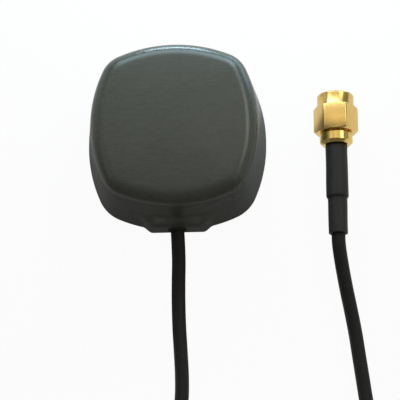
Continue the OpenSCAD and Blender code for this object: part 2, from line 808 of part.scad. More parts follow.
// The braid is opened out over the stem, where the ferrule holds it
module plug_braid() {
    color(copper) at_plug() turned([
        [stem_r, barrel_end], [cable_d / 2, barrel_end], [cable_d / 2, stem_end + 0.3],
        [braid_d / 2, stem_end + 0.3], [braid_d / 2, sleeve_end], [core_d / 2, sleeve_end],
        [core_d / 2, stem_end], [stem_r, stem_end]
    ]);
}

module plug_core() {
    color(ptfe) at_plug() ring_of(wire_d / 2, core_d / 2, insulator_end, sleeve_end);
}

module plug_wire() {
    color(copper) at_plug() turned([
        [0, solder_z], [wire_d / 2, solder_z], [wire_d / 2, sleeve_end], [0, sleeve_end]
    ]);
}

top_cover();
base_plate();
base_pad();
edge_seal();
magnets();
base_screws();
ceramic_patch();
patch_face();
feed_pin();
patch_tape();
circuit_board();
shield_can();
amplifier_chip();
filter_chip();
chip_parts();
cable_bush();
board_jacket();
board_braid();
board_core();
board_wire();
ground_clip();
antenna_lead();
cable_coil();
coil_tie();
plug_lead();
coupling_nut();
plug_body();
snap_ring();
seal_ring();
plug_insulator();
centre_contact();
crimp_ferrule();
shrink_sleeve();
plug_jacket();
plug_braid();
plug_core();
plug_wire();
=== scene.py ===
"""Looks of a magnetic satellite-navigation antenna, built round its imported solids."""

import logging
import math
from abc import ABC, abstractmethod
from dataclasses import dataclass, field
from enum import Enum
from typing import Callable, Sequence, Union

import bmesh
import bpy
from mathutils import Matrix, Vector


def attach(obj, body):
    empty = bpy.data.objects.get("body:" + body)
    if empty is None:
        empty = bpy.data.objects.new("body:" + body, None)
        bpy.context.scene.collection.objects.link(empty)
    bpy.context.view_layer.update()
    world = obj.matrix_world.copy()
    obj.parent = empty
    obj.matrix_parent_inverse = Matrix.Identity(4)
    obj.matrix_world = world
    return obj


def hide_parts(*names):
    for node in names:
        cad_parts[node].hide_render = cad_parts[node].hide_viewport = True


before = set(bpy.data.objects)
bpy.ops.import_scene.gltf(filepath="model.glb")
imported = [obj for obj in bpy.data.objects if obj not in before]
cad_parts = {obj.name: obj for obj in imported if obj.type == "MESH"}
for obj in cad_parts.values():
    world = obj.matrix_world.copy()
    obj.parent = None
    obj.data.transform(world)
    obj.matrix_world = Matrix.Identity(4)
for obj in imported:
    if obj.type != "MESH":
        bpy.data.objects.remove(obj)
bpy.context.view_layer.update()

MM = 0.001
WELD = 1e-7
LOG = logging.getLogger("antenna")

Piece = bpy.types.Object
Socket = bpy.types.NodeSocket
Pair = tuple[float, float]
Colour = tuple[float, float, float]
Point = tuple[float, float, float]
Ring = list[Point]
Input = Union["Signal", Socket, float, tuple]
Inputs = dict[str | int, Input]

# The plug lies on its nut: its front face in millimetres, its directions and its sleeve's end
NUT_AF = 8.0
NUT_CORNER = NUT_AF / math.sqrt(3.0)
NUT_TURN = math.radians(7.0)
NUT_CLEAR = 0.05
PLUG_TURN = math.radians(1.2)
PLUG_AT = Vector((
    33.1, 8.3, NUT_CORNER * math.cos(math.radians(30.0) - NUT_TURN) + NUT_CLEAR))
PLUG_DIR = Vector((math.sin(PLUG_TURN), math.cos(PLUG_TURN), 0.0))
PLUG_SIDE = Vector((PLUG_DIR.y, -PLUG_DIR.x, 0.0))
PLUG_UP = Vector((0.0, 0.0, 1.0))
SLEEVE_END = 29.55


class Body(Enum):
    """The rigid bodies that a piece can ride on."""

    ANTENNA = "antenna"
    NUT = "coupling_nut"


class Join(Enum):
    """What a boolean does to the piece that it works on."""

    ADD = "UNION"
    CUT = "DIFFERENCE"
    KEEP_COMMON = "INTERSECT"


def ease(t: float) -> float:
    """Return t held to 0 to 1 and eased at both ends."""
    t = min(1.0, max(0.0, t))
    return t * t * (3.0 - 2.0 * t)


def grey(value: float) -> Colour:
    """Return a neutral colour of one linear value."""
    return (value, value, value)


def toned(colour: Colour, factor: float, lift: float = 0.0) -> Colour:
    """Return a colour times a factor, plus a lift."""
    return tuple(factor * c + lift for c in colour)


def opaque(value: Input) -> Input:
    """Return a plain colour with its alpha, and anything else as it is."""
    return (*value, 1.0) if isinstance(value, tuple) and len(value) == 3 else value


def circle(r: float, sides: int) -> list[Pair]:
    """Return the points of a circle round the origin."""
    turn = 2.0 * math.pi / sides
    return [(r * math.cos(turn * i), r * math.sin(turn * i)) for i in range(sides)]


# Shader writing


class Signal:
    """A number on its way through a shader, with Python's operators for its maths."""

    def __init__(self, sheet: "NodeSheet", socket: Socket) -> None:
        """Wrap an output socket of a node sheet."""
        self.sheet = sheet
        self.socket = socket

    def _math(self, operation: str, left: Input, right: Input) -> "Signal":
        """Return the result of one Math node on two values."""
        return self.sheet.signal("ShaderNodeMath", {"operation": operation}, {0: left, 1: right})

    def __add__(self, other: Input) -> "Signal":
        """Return self + other."""
        return self._math("ADD", self, other)

    __radd__ = __add__

    def __sub__(self, other: Input) -> "Signal":
        """Return self - other."""
        return self._math("SUBTRACT", self, other)

    def __rsub__(self, other: Input) -> "Signal":
        """Return other - self."""
        return self._math("SUBTRACT", other, self)

    def __mul__(self, other: Input) -> "Signal":
        """Return self * other."""
        return self._math("MULTIPLY", self, other)

    __rmul__ = __mul__

    def most(self, other: Input) -> "Signal":
        """Return the larger of self and other."""
        return self._math("MAXIMUM", self, other)


class NodeSheet:
    """The node tree of one material or world."""

    def __init__(self, tree: bpy.types.NodeTree) -> None:
        """Start with an empty tree."""
        self.tree = tree
        tree.nodes.clear()

    def add(
        self,
        kind: str,
        settings: dict[str, object] | None = None,
        inputs: Inputs | None = None,
    ) -> bpy.types.Node:
        """Add any node.

        Args:
            kind: The node's type.
            settings: Its properties, set first.
            inputs: Values or links of its sockets, by name or number.

        Returns:
            The new node.
        """
        node = self.tree.nodes.new(kind)
        for key, value in (settings or {}).items():
            setattr(node, key, value)
        for key, value in (inputs or {}).items():
            socket = value.socket if isinstance(value, Signal) else value
            if isinstance(socket, Socket):
                self.tree.links.new(socket, node.inputs[key])
            else:
                node.inputs[key].default_value = socket
        return node

    def signal(self, kind: str, settings: dict[str, object], inputs: Inputs,
               output: str | int = 0) -> Signal:
        """Add a node and return one of its outputs as a number."""
        return Signal(self, self.add(kind, settings, inputs).outputs[output])

    def place(self, stretch: Point = (1.0, 1.0, 1.0), turn: float = 0.0,
              centre: Point = (0.0, 0.0, 0.0)) -> Socket:
        """Return object coordinates, in metres, moved, turned about Z and stretched.

        Args:
            stretch: How much finer a pattern is along each axis.
            turn: Angle in radians by which the pattern's axes are turned about Z.
            centre: The pattern's origin, in metres.

        Returns:
            A vector socket.
        """
        where = self.add("ShaderNodeTexCoord").outputs["Object"]
        moved = self.add("ShaderNodeMapping", {"vector_type": "TEXTURE"}, {
            "Vector": where, "Location": centre, "Rotation": (0.0, 0.0, turn)})
        return self.add("ShaderNodeMapping", {"vector_type": "POINT"}, {
            "Vector": moved.outputs[0], "Scale": stretch}).outputs[0]

    def noise(self, grain_mm: float, vector: Socket | None = None,
              detail: float = 2.0) -> Signal:
        """Return cloudy noise of one grain size, from about 0 to 1."""
        return self.signal("ShaderNodeTexNoise", {}, {
            "Vector": vector or self.place(), "Scale": 1.0 / (grain_mm * MM), "Detail": detail})

    def between(self, value: Signal, low: float, high: float) -> Signal:
        """Return value mapped from low..high to 0..1, eased and clamped."""
        return self.signal("ShaderNodeMapRange", {"interpolation_type": "SMOOTHSTEP"}, {
            "Value": value, "From Min": low, "From Max": high})

    def blend(self, share: Input, first: Input, second: Input) -> Socket:
        """Return a colour from the first at share 0 to the second at share 1."""
        return self.add("ShaderNodeMix", {"data_type": "RGBA"}, {
            0: share, 6: opaque(first), 7: opaque(second)}).outputs[2]

    def bump(self, height: Signal, depth_mm: float, strength: float,
             over: Socket | None = None) -> Socket:
        """Return a normal that is roughened by a height.

        Args:
            height: Height from 0 to 1.
            depth_mm: What a height of 1 stands for.
            strength: Share of the effect.
            over: A normal to start from.

        Returns:
            A normal socket.
        """
        inputs: Inputs = {"Height": height, "Distance": depth_mm * MM, "Strength": strength}
        if over is not None:
            inputs["Normal"] = over
        return self.add("ShaderNodeBump", {}, inputs).outputs[0]

    def surface(self, inputs: Inputs) -> None:
        """Close the sheet with one Principled surface of these sockets."""
        shader = self.add("ShaderNodeBsdfPrincipled", {}, {
            name: opaque(value) for name, value in inputs.items()})
        self.add("ShaderNodeOutputMaterial", {}, {"Surface": shader.outputs[0]})


# Finishes


@dataclass(frozen=True)
class Finish(ABC):
    """A surface finish that paints its own material."""

    name: str

    @abstractmethod
    def paint(self, sheet: NodeSheet) -> None:
        """Write the finish's nodes on a sheet."""

    def material(self) -> bpy.types.Material:
        """Return the finish's material, made on its first use.

        Returns:
            The material.
        """
        made = bpy.data.materials.get(self.name)
        if made is None:
            made = bpy.data.materials.new(self.name)
            made.use_nodes = True
            self.paint(NodeSheet(made.node_tree))
        return made

    def dress(self, piece: Piece) -> None:
        """Give the whole of a piece this finish."""
        piece.data.materials.clear()
        piece.data.materials.append(self.material())


@dataclass(frozen=True)
class MouldedPlastic(Finish):
    """Matte moulded plastic: fine grain, drag lines, soft patches and worn, shinier edges."""

    colour: Colour
    roughness: float = 0.5
    shine: float = 0.5
    patch_mm: float = 9.0
    grain_mm: float = 0.16
    grain_depth_mm: float = 0.012
    line_mm: float = 0.3
    line_stretch: Point = (0.16, 1.0, 1.0)
    drag_depth_mm: float = 0.0
    detail: float = 3.0
    streak: float = 0.25
    tone_shares: Point = (0.17, 0.13, 0.7)  # of patches, grain and lines
    rough_shares: Point = (-0.05, 0.06, 0.04)  # everywhere, by patches and by grain
    grain_strength: float = 0.6
    drag_strength: float = 0.5
    edge_wear: float = 0.0
    wear_rises: Pair = (0.72, 0.84)  # height of the normal where wear sets in
    wear_falls: Pair = (0.955, 0.992)  # and where it ends on level faces
    wear_roughness: float = 0.22

    def _worn_edges(self, sheet: NodeSheet) -> Signal:
        """Return how polished the surface is: most where it leans, nothing where level or steep.

        Args:
            sheet: The material's node sheet.

        Returns:
            The polish, from 0 to edge_wear.
        """
        normal = sheet.add("ShaderNodeNewGeometry").outputs["Normal"]
        up = sheet.signal("ShaderNodeSeparateXYZ", {}, {0: normal}, "Z")
        level = sheet.between(up, *self.wear_falls)
        return sheet.between(up, *self.wear_rises) * (1.0 - level) * self.edge_wear

    def paint(self, sheet: NodeSheet) -> None:
        """Write grain, drag lines, patches and worn edges.

        Args:
            sheet: The material's node sheet.
        """
        patches = sheet.noise(self.patch_mm, detail=self.detail)
        grain = sheet.noise(self.grain_mm, detail=self.detail)
        lines = sheet.noise(self.line_mm, sheet.place(self.line_stretch))
        light = toned(self.colour, 1.0 + self.streak)
        dark = toned(self.colour, 1.0 - self.streak)
        by_patch, by_grain, by_line = self.tone_shares
        tone = patches * by_patch + grain * by_grain + lines * by_line
        base, by_patch, by_grain = self.rough_shares
        rough = self.roughness + base + patches * by_patch + grain * by_grain
        normal = sheet.bump(grain, self.grain_depth_mm, self.grain_strength)
        if self.drag_depth_mm:
            normal = sheet.bump(lines, self.drag_depth_mm, self.drag_strength, normal)
        inputs: Inputs = {
            "Base Color": sheet.blend(tone, dark, light), "Roughness": rough, "Normal": normal,
            "Specular IOR Level": self.shine}
        if self.edge_wear:
            inputs |= {
                "Coat Weight": self._worn_edges(sheet), "Coat Roughness": self.wear_roughness}
        sheet.surface(inputs)


@dataclass(frozen=True)
class SoftVinyl(Finish):
    """Soft extruded jacket or rubber: slightly uneven, dull, with handling marks."""

    colour: Colour
    roughness: float = 0.5
    shine: float = 0.5
    wave_mm: float = 2.4
    wave_depth_mm: float = 0.05
    wave_strength: float = 0.35
    pore_mm: float = 0.14
    pore_depth_mm: float = 0.008
    pore_strength: float = 0.5
    pore_roughness: float = 0.05
    mark_mm: float = 1.1
    mark_range: Pair = (0.56, 0.78)
    mark_tone: Pair = (1.5, 0.003)  # factor and lift of the colour
    mark_share: float = 0.6
    mark_roughness: float = 0.12

    def paint(self, sheet: NodeSheet) -> None:
        """Write waves, pores and dull patches.

        Args:
            sheet: The material's node sheet.
        """
        waves = sheet.noise(self.wave_mm, detail=1.0)
        pores = sheet.noise(self.pore_mm)
        marks = sheet.between(sheet.noise(self.mark_mm, detail=4.0), *self.mark_range)
        waved = sheet.bump(waves, self.wave_depth_mm, self.wave_strength)
        pale = toned(self.colour, *self.mark_tone)
        sheet.surface({
            "Base Color": sheet.blend(marks * self.mark_share, self.colour, pale),
            "Roughness": (
                self.roughness + marks * self.mark_roughness + pores * self.pore_roughness),
            "Normal": sheet.bump(pores, self.pore_depth_mm, self.pore_strength, waved),
            "Specular IOR Level": self.shine})


@dataclass(frozen=True)
class PlatedMetal(Finish):
    """The plug's plated turned metal: lathe lines across its axis, faint clouds and scratches."""

    colour: Colour
    roughness: float = 0.2
    line_mm: float = 0.05
    line_stretch: Point = (0.002, 1.0, 0.002)
    line_depth_mm: float = 0.0045
    line_strength: float = 0.8
    cloud_mm: float = 1.6
    cloud: float = 0.12
    cloud_share: float = 0.7
    cloud_roughness: float = 0.06
    scratch_mm: float = 0.12
    scratch_stretch: Point = (1.0, 0.12, 1.0)
    scratch_range: Pair = (0.62, 0.8)
    scratch_share: float = 0.2
    scratch_roughness: float = 0.1
    detail: float = 3.0

    def paint(self, sheet: NodeSheet) -> None:
        """Write lathe lines, clouds and scratches.

        Args:
            sheet: The material's node sheet.
        """
        along = sheet.place(self.line_stretch, -PLUG_TURN, tuple(PLUG_AT * MM))
        lines = sheet.noise(self.line_mm, along, self.detail)
        clouds = sheet.noise(self.cloud_mm, detail=self.detail)
        fine = sheet.noise(self.scratch_mm, sheet.place(self.scratch_stretch))
        scratches = sheet.between(fine, *self.scratch_range)
        dull = toned(self.colour, 1.0 - self.cloud)
        share = clouds * self.cloud_share + scratches * self.scratch_share
        sheet.surface({
            "Base Color": sheet.blend(share, self.colour, dull),
            "Metallic": 1.0,
            "Roughness": (
                self.roughness + clouds * self.cloud_roughness
                + scratches * self.scratch_roughness),
            "Normal": sheet.bump(lines, self.line_depth_mm, self.line_strength)})


@dataclass(frozen=True)
class SheetMetal(Finish):
    """Tinned, silvered or nickelled sheet with a soft blotchy shine."""

    colour: Colour
    roughness: float = 0.32
    blotch_mm: float = 0.9
    blotch_tone: float = 0.78
    blotch_roughness: float = 0.18
    metal: float = 1.0
    skin_mm: float = 0.2
    skin_depth_mm: float = 0.006
    skin_strength: float = 0.5

    def paint(self, sheet: NodeSheet) -> None:
        """Write blotches and a fine orange skin.

        Args:
            sheet: The material's node sheet.
        """
        blotches = sheet.noise(self.blotch_mm, detail=4.0)
        skin = sheet.noise(self.skin_mm)
        sheet.surface({
            "Base Color": sheet.blend(blotches, self.colour, toned(self.colour, self.blotch_tone)),
            "Metallic": self.metal,
            "Roughness": self.roughness + blotches * self.blotch_roughness,
            "Normal": sheet.bump(skin, self.skin_depth_mm, self.skin_strength)})


@dataclass(frozen=True)
class FiredCeramic(Finish):
    """Unglazed fired ceramic with darker specks."""

    colour: Colour
    speck: Colour
    roughness: float = 0.6
    speck_mm: float = 0.25
    speck_range: Pair = (0.58, 0.72)
    speck_share: float = 0.6
    grain_mm: float = 0.1
    grain_depth_mm: float = 0.01
    grain_strength: float = 0.6
    grain_roughness: float = 0.1

    def paint(self, sheet: NodeSheet) -> None:
        """Write specks and a pressed grain.

        Args:
            sheet: The material's node sheet.
        """
        specks = sheet.between(sheet.noise(self.speck_mm, detail=3.0), *self.speck_range)
        grain = sheet.noise(self.grain_mm)
        sheet.surface({
            "Base Color": sheet.blend(specks * self.speck_share, self.colour, self.speck),
            "Roughness": self.roughness + grain * self.grain_roughness,
            "Normal": sheet.bump(grain, self.grain_depth_mm, self.grain_strength)})


@dataclass(frozen=True)
class BoardResist(Finish):
    """Circuit board: green resist over copper runs, which show as a paler raised grid."""

    resist: Colour
    over_copper: Colour
    roughness: float = 0.3
    runs_per_m: float = 420.0
    run_width: float = 0.05
    run_depth_mm: float = 0.02
    run_strength: float = 0.6
    run_share: float = 0.7
    weave_mm: float = 0.3
    weave_share: float = 0.2
    weave_roughness: float = 0.12

    def paint(self, sheet: NodeSheet) -> None:
        """Write the copper runs under the resist.

        Args:
            sheet: The material's node sheet.
        """
        runs = sheet.signal("ShaderNodeTexBrick", {}, {
            "Vector": sheet.place(), "Scale": self.runs_per_m,
            "Mortar Size": self.run_width}, "Fac")
        weave = sheet.noise(self.weave_mm)
        share = runs * self.run_share + weave * self.weave_share
        sheet.surface({
            "Base Color": sheet.blend(share, self.resist, self.over_copper),
            "Roughness": self.roughness + weave * self.weave_roughness,
            "Normal": sheet.bump(runs, self.run_depth_mm, self.run_strength)})


@dataclass(frozen=True)
class WaxyPolymer(Finish):
    """White, slightly see-through insulator with a waxy skin."""

    colour: Colour
    roughness: float = 0.42
    cloud_mm: float = 0.8
    cloud_tone: float = 0.9
    cloud_roughness: float = 0.1
    mark_mm: float = 0.06
    mark_depth_mm: float = 0.004
    mark_strength: float = 0.5
    milkiness: float = 0.15
    scatter_mm: float = 0.6

    def paint(self, sheet: NodeSheet) -> None:
        """Write soft clouds and cutting marks.

        Args:
            sheet: The material's node sheet.
        """
        clouds = sheet.noise(self.cloud_mm, detail=3.0)
        marks = sheet.noise(self.mark_mm, detail=1.0)
        sheet.surface({
            "Base Color": sheet.blend(clouds, self.colour, toned(self.colour, self.cloud_tone)),
            "Roughness": self.roughness + clouds * self.cloud_roughness,
            "Normal": sheet.bump(marks, self.mark_depth_mm, self.mark_strength),
            "Subsurface Weight": self.milkiness, "Subsurface Scale": self.scatter_mm * MM})


@dataclass(frozen=True)
class WovenBraid(Finish):
    """Bare copper braid: two crossing sets of fine strands."""

    colour: Colour
    roughness: float = 0.34
    strands_per_m: float = 1100.0
    slant: float = 0.6
    waver: float = 0.3
    gap_tone: float = 0.45
    polish: float = 0.08
    depth_mm: float = 0.04
    strength: float = 0.7

    def paint(self, sheet: NodeSheet) -> None:
        """Write two slanted sets of bands and their bump.

        Args:
            sheet: The material's node sheet.
        """
        bands = [
            sheet.signal("ShaderNodeTexWave", {"wave_type": "BANDS", "bands_direction": "X"}, {
                "Vector": sheet.place(turn=turn), "Scale": self.strands_per_m,
                "Distortion": self.waver})
            for turn in (self.slant, -self.slant)]
        weave = bands[0].most(bands[1])
        sheet.surface({
            "Base Color": sheet.blend(weave, toned(self.colour, self.gap_tone), self.colour),
            "Metallic": 1.0, "Roughness": self.roughness - weave * self.polish,
            "Normal": sheet.bump(weave, self.depth_mm, self.strength)})


@dataclass(frozen=True)
class FoamTape(Finish):
    """Pale closed-cell mounting tape."""

    colour: Colour
    roughness: float = 0.8
    cells_per_m: float = 5000.0
    cell_tone: float = 0.7
    cell_roughness: float = 0.1
    depth_mm: float = 0.05
    strength: float = 0.6

    def paint(self, sheet: NodeSheet) -> None:
        """Write the foam's cells.

        Args:
            sheet: The material's node sheet.
        """
        cells = sheet.signal("ShaderNodeTexVoronoi", {"feature": "F1"}, {
            "Vector": sheet.place(), "Scale": self.cells_per_m}, "Distance")
        sheet.surface({
            "Base Color": sheet.blend(cells, self.colour, toned(self.colour, self.cell_tone)),
            "Roughness": self.roughness + cells * self.cell_roughness,
            "Normal": sheet.bump(cells, self.depth_mm, self.strength)})


COVER_PLASTIC = MouldedPlastic(
    "charcoal cover plastic", (0.0762, 0.0797, 0.066), roughness=0.28, shine=0.38,
    grain_depth_mm=0.006, drag_depth_mm=0.005, streak=0.46, edge_wear=0.2)
BASE_PLASTIC = MouldedPlastic("dark base plastic", (0.022, 0.023, 0.022), roughness=0.55)
CHIP_PLASTIC = MouldedPlastic(
    "black chip moulding", (0.011, 0.012, 0.013), roughness=0.6, grain_mm=0.08)
CABLE_VINYL = SoftVinyl(
    "black cable jacket", (0.0193, 0.018, 0.0161), roughness=0.55, shine=0.22)
SHRINK_TUBE = SoftVinyl("black shrink tubing", (0.031, 0.0285, 0.0255), shine=0.25, wave_mm=1.6)
BLACK_RUBBER = SoftVinyl(
    "black moulded rubber", (0.042, 0.0405, 0.0375), roughness=0.7, shine=0.3)
SEAL_RUBBER = SoftVinyl("red seal rubber", (0.4, 0.06, 0.025))
TIE_STRIP = SoftVinyl("grey tie strip", (0.02, 0.021, 0.022), roughness=0.45, wave_mm=0.8)
GOLD_PLATE = PlatedMetal("plug gold plate", (0.9, 0.64, 0.19))
NUT_GOLD = PlatedMetal("nut gold plate", (0.92, 0.63, 0.21), roughness=0.21)
FERRULE_GOLD = PlatedMetal("ferrule plate", (0.78, 0.58, 0.24), roughness=0.3)
NICKEL = SheetMetal("nickel plate", (0.62, 0.62, 0.6), roughness=0.25)
TINNED = SheetMetal("tinned sheet", (0.66, 0.67, 0.67), roughness=0.34)
DARK_STEEL = SheetMetal("dark screw steel", (0.19, 0.195, 0.2), roughness=0.38, blotch_mm=0.6)
SILVER_FILM = SheetMetal(
    "fired silver film", (0.74, 0.74, 0.71), roughness=0.46, blotch_mm=0.35, metal=0.9)
PATCH_CERAMIC = FiredCeramic("patch ceramic", (0.62, 0.53, 0.4), (0.42, 0.34, 0.24))
CHIP_CERAMIC = FiredCeramic("chip ceramic", (0.36, 0.25, 0.13), (0.22, 0.14, 0.07))
BOARD = BoardResist("green board resist", (0.012, 0.09, 0.035), (0.035, 0.2, 0.07))
WHITE_CORE = WaxyPolymer("white insulator", (0.82, 0.8, 0.73))
COPPER_BRAID = WovenBraid("copper braid", (0.76, 0.36, 0.17))
COPPER_WIRE = SheetMetal("bare copper wire", (0.8, 0.4, 0.2), roughness=0.25)
MOUNT_TAPE = FoamTape("pale foam tape", (0.72, 0.7, 0.62))


# Hand work on meshes


class Bench:
    """Hand work on one mesh at a time, with Blender's own operators."""

    def __init__(self) -> None:
        """Start with nothing in hand."""
        self.piece: Piece | None = None
        self.ring: Ring = []

    @staticmethod
    def put_down() -> None:
        """Leave edit mode and deselect everything."""
        if bpy.context.object is not None and bpy.context.object.mode != "OBJECT":
            bpy.ops.object.mode_set(mode="OBJECT")
        bpy.ops.object.select_all(action="DESELECT")

    def take(self, piece: Piece) -> None:
        """Select one piece and nothing else.

        Args:
            piece: The piece to work on.
        """
        self.put_down()
        piece.select_set(True)
        bpy.context.view_layer.objects.active = piece
        self.piece = piece

    def start(self, name: str, ring: Ring) -> Piece:
        """Add a circle, set it on a ring of points and open it for editing.

        Args:
            name: Name of the new piece.
            ring: Points in millimetres.

        Returns:
            The new piece, in edit mode with the ring selected.
        """
        self.put_down()
        bpy.ops.mesh.primitive_circle_add(vertices=len(ring), radius=MM, fill_type="NOTHING")
        piece = bpy.context.object
        piece.name = piece.data.name = name
        self.piece = piece
        bpy.ops.object.mode_set(mode="EDIT")
        bpy.ops.mesh.select_all(action="SELECT")
        mesh = bmesh.from_edit_mesh(piece.data)
        self._set(list(mesh.verts), ring)
        return piece

    def _set(self, verts: list[bmesh.types.BMVert], ring: Ring) -> None:
        """Move vertices to a ring's points and note where they are.

        Args:
            verts: The vertices, in the ring's order.
            ring: Points in millimetres.
        """
        for vert, point in zip(verts, ring):
            vert.co = Vector(point) * MM
        bmesh.update_edit_mesh(self.piece.data)
        self.ring = [tuple(vert.co) for vert in verts]

    def loft(self, rings: Sequence[Ring]) -> None:
        """Extrude the selected ring through more rings of as many points.

        Args:
            rings: The rings, in order.
        """
        for ring in rings:
            order = {place: i for i, place in enumerate(self.ring)}
            bpy.ops.mesh.extrude_edges_move()
            mesh = bmesh.from_edit_mesh(self.piece.data)
            fresh = [v for v in mesh.verts if v.select]
            fresh.sort(key=lambda v: order[tuple(v.co)])
            self._set(fresh, ring)

    @staticmethod
    def close_ends(joined: bool = False) -> None:
        """Close every open ring with a face of its own, or bridge the two of them.

        Args:
            joined: Whether the rings are bridged, so that the section closes on itself.
        """
        bpy.ops.mesh.select_all(action="DESELECT")
        bpy.ops.mesh.select_mode(type="EDGE")
        bpy.ops.mesh.select_non_manifold(extend=False)
        if joined:
            bpy.ops.mesh.bridge_edge_loops()
        else:
            bpy.ops.mesh.fill_holes(sides=0)
        bpy.ops.mesh.select_mode(type="VERT")

    @staticmethod
    def smooth(up_to: float = math.radians(32.0)) -> None:
        """Smooth the selected piece, apart from the edges that turn by more than an angle."""
        bpy.ops.object.shade_smooth_by_angle(angle=up_to)

    def close(self) -> Piece:
        """Turn all faces outwards, leave edit mode and smooth the gentle edges.

        Returns:
            The piece in hand.
        """
        bpy.ops.mesh.select_all(action="SELECT")
        bpy.ops.mesh.remove_doubles(threshold=WELD)
        bpy.ops.mesh.normals_make_consistent(inside=False)
        bpy.ops.object.mode_set(mode="OBJECT")
        self.smooth()
        return self.piece

    def solid(self, name: str, rings: Sequence[Ring], joined: bool = False) -> Piece:
        """Loft rings into a solid.

        Args:
            name: Name of the piece.
            rings: Its rings, in order.
            joined: Whether the last ring joins the first; otherwise each gets a flat face.

        Returns:
            The piece.
        """
        self.start(name, rings[0])
        self.loft(rings[1:])
        self.close_ends(joined)
        return self.close()

    def apply(self, piece: Piece, kind: str, **settings: object) -> None:
        """Add a modifier to a piece and apply it.

        Args:
            piece: The piece.
            kind: The modifier's type.
            **settings: Its properties.
        """
        self.take(piece)
        modifier = piece.modifiers.new(kind.lower(), kind)
        for key, value in settings.items():
            setattr(modifier, key, value)
        bpy.ops.object.modifier_apply(modifier=modifier.name)

    def combine(self, piece: Piece, tool: Piece, how: Join) -> None:
        """Join a tool to a piece by a boolean and throw the tool away."""
        self.apply(piece, "BOOLEAN", operation=how.value, solver="EXACT", object=tool)
        bpy.data.objects.remove(tool)

    def soften(self, piece: Piece, width_mm: float, segments: int = 2,
               from_deg: float = 24.0) -> None:
        """Round the edges of a piece that are sharper than an angle, in a few segments."""
        self.apply(piece, "BEVEL", width=width_mm * MM, segments=segments,
                   limit_method="ANGLE", angle_limit=math.radians(from_deg))
        self.smooth()


BENCH = Bench()


def finish_piece(piece: Piece, finish: Finish, body: Body,
                 nodes: Sequence[str] = ()) -> Piece:
    """Dress a new piece, set it on its body and hide the CAD nodes that it replaces.

    Args:
        piece: The piece.
        finish: Its finish.
        body: The body that it rides on.
        nodes: CAD nodes that it replaces.

    Returns:
        The piece.
    """
    BENCH.put_down()
    finish.dress(piece)
    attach(piece, body.value)
    if nodes:
        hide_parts(*nodes)
    LOG.info("%s: new piece on %s", piece.name, body.value)
    return piece


def dress_nodes(finishes: dict[str, Finish]) -> None:
    """Give CAD nodes their finishes.

    Args:
        finishes: Finish of each node, by its name.
    """
    for name, finish in finishes.items():
        finish.dress(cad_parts[name])
        LOG.info("%s: dressed", name)


# The studio


@dataclass(frozen=True)
class Lamp:
    """A soft rectangular lamp, placed by the direction that its light comes from."""

    name: str
    azimuth: float
    elevation: float
    distance: float
    size: Pair
    radiance: Colour
    aim_mm: Point = (8.0, -4.0, 10.0)
    spread: float = math.pi

    def hang(self) -> None:
        """Hang the lamp and turn it to the point that it lights."""
        a, e = math.radians(self.azimuth), math.radians(self.elevation)
        way = Vector((math.cos(a) * math.cos(e), math.sin(a) * math.cos(e), math.sin(e)))
        peak = max(self.radiance)
        data = bpy.data.lights.new(self.name, "AREA")
        data.shape = "RECTANGLE"
        data.size, data.size_y = self.size
        data.energy = peak * math.pi * self.size[0] * self.size[1]
        data.color = tuple(c / peak for c in self.radiance)
        data.spread = self.spread
        lamp = bpy.data.objects.new(self.name, data)
        bpy.context.scene.collection.objects.link(lamp)
        lamp.location = Vector(self.aim_mm) * MM + self.distance * way
        lamp.rotation_euler = (-way).to_track_quat("-Z", "Y").to_euler()
        lamp.visible_camera = False


# Name, azimuth, elevation, distance, size and radiance, in degrees and metres
LAMPS = (
    Lamp("back_low", 94.0, 2.0, 0.13, (0.05, 0.016), (15.5, 21.5, 25.5)),
    Lamp("back_strip", 90.0, 33.0, 0.09, (0.1, 0.04), (2.75, 3.95, 4.6)),
    Lamp("corner_low", 58.0, 1.0, 0.08, (0.06, 0.022), (1.7, 2.9, 3.6)),
    Lamp("back_high", 90.0, 51.0, 0.13, (0.195, 0.13), (0.6, 0.525, 0.43)),
    Lamp("back_right", 64.0, 28.0, 0.5, (0.2, 0.17), (1.5, 2.1, 2.45)),
    Lamp("plug_fill", 58.0, 74.5, 0.114, (0.05, 0.04), (0.34, 0.32, 0.27)),
    Lamp("right_line", 28.0, 46.0, 0.5, (0.22, 0.13), (3.0, 2.9, 2.65)),
    Lamp("right_high", 0.0, 48.0, 0.5, (0.4, 0.12), (0.6, 0.54, 0.45)),
    Lamp("right_low", 0.0, 18.0, 0.5, (0.4, 0.14), (0.3, 0.27, 0.23)),
    Lamp("left_high", 168.0, 42.0, 0.5, (0.4, 0.2), (0.28, 0.28, 0.26)),
    Lamp("left_low", 154.0, 12.0, 0.5, (0.25, 0.15), (0.6, 0.55, 0.47)),
    Lamp("coil_fill", -90.0, 90.0, 0.14, (0.06, 0.05), (1.3, 1.28, 1.2),
         aim_mm=(17.0, -104.0, 8.0), spread=math.radians(36.0)),
)


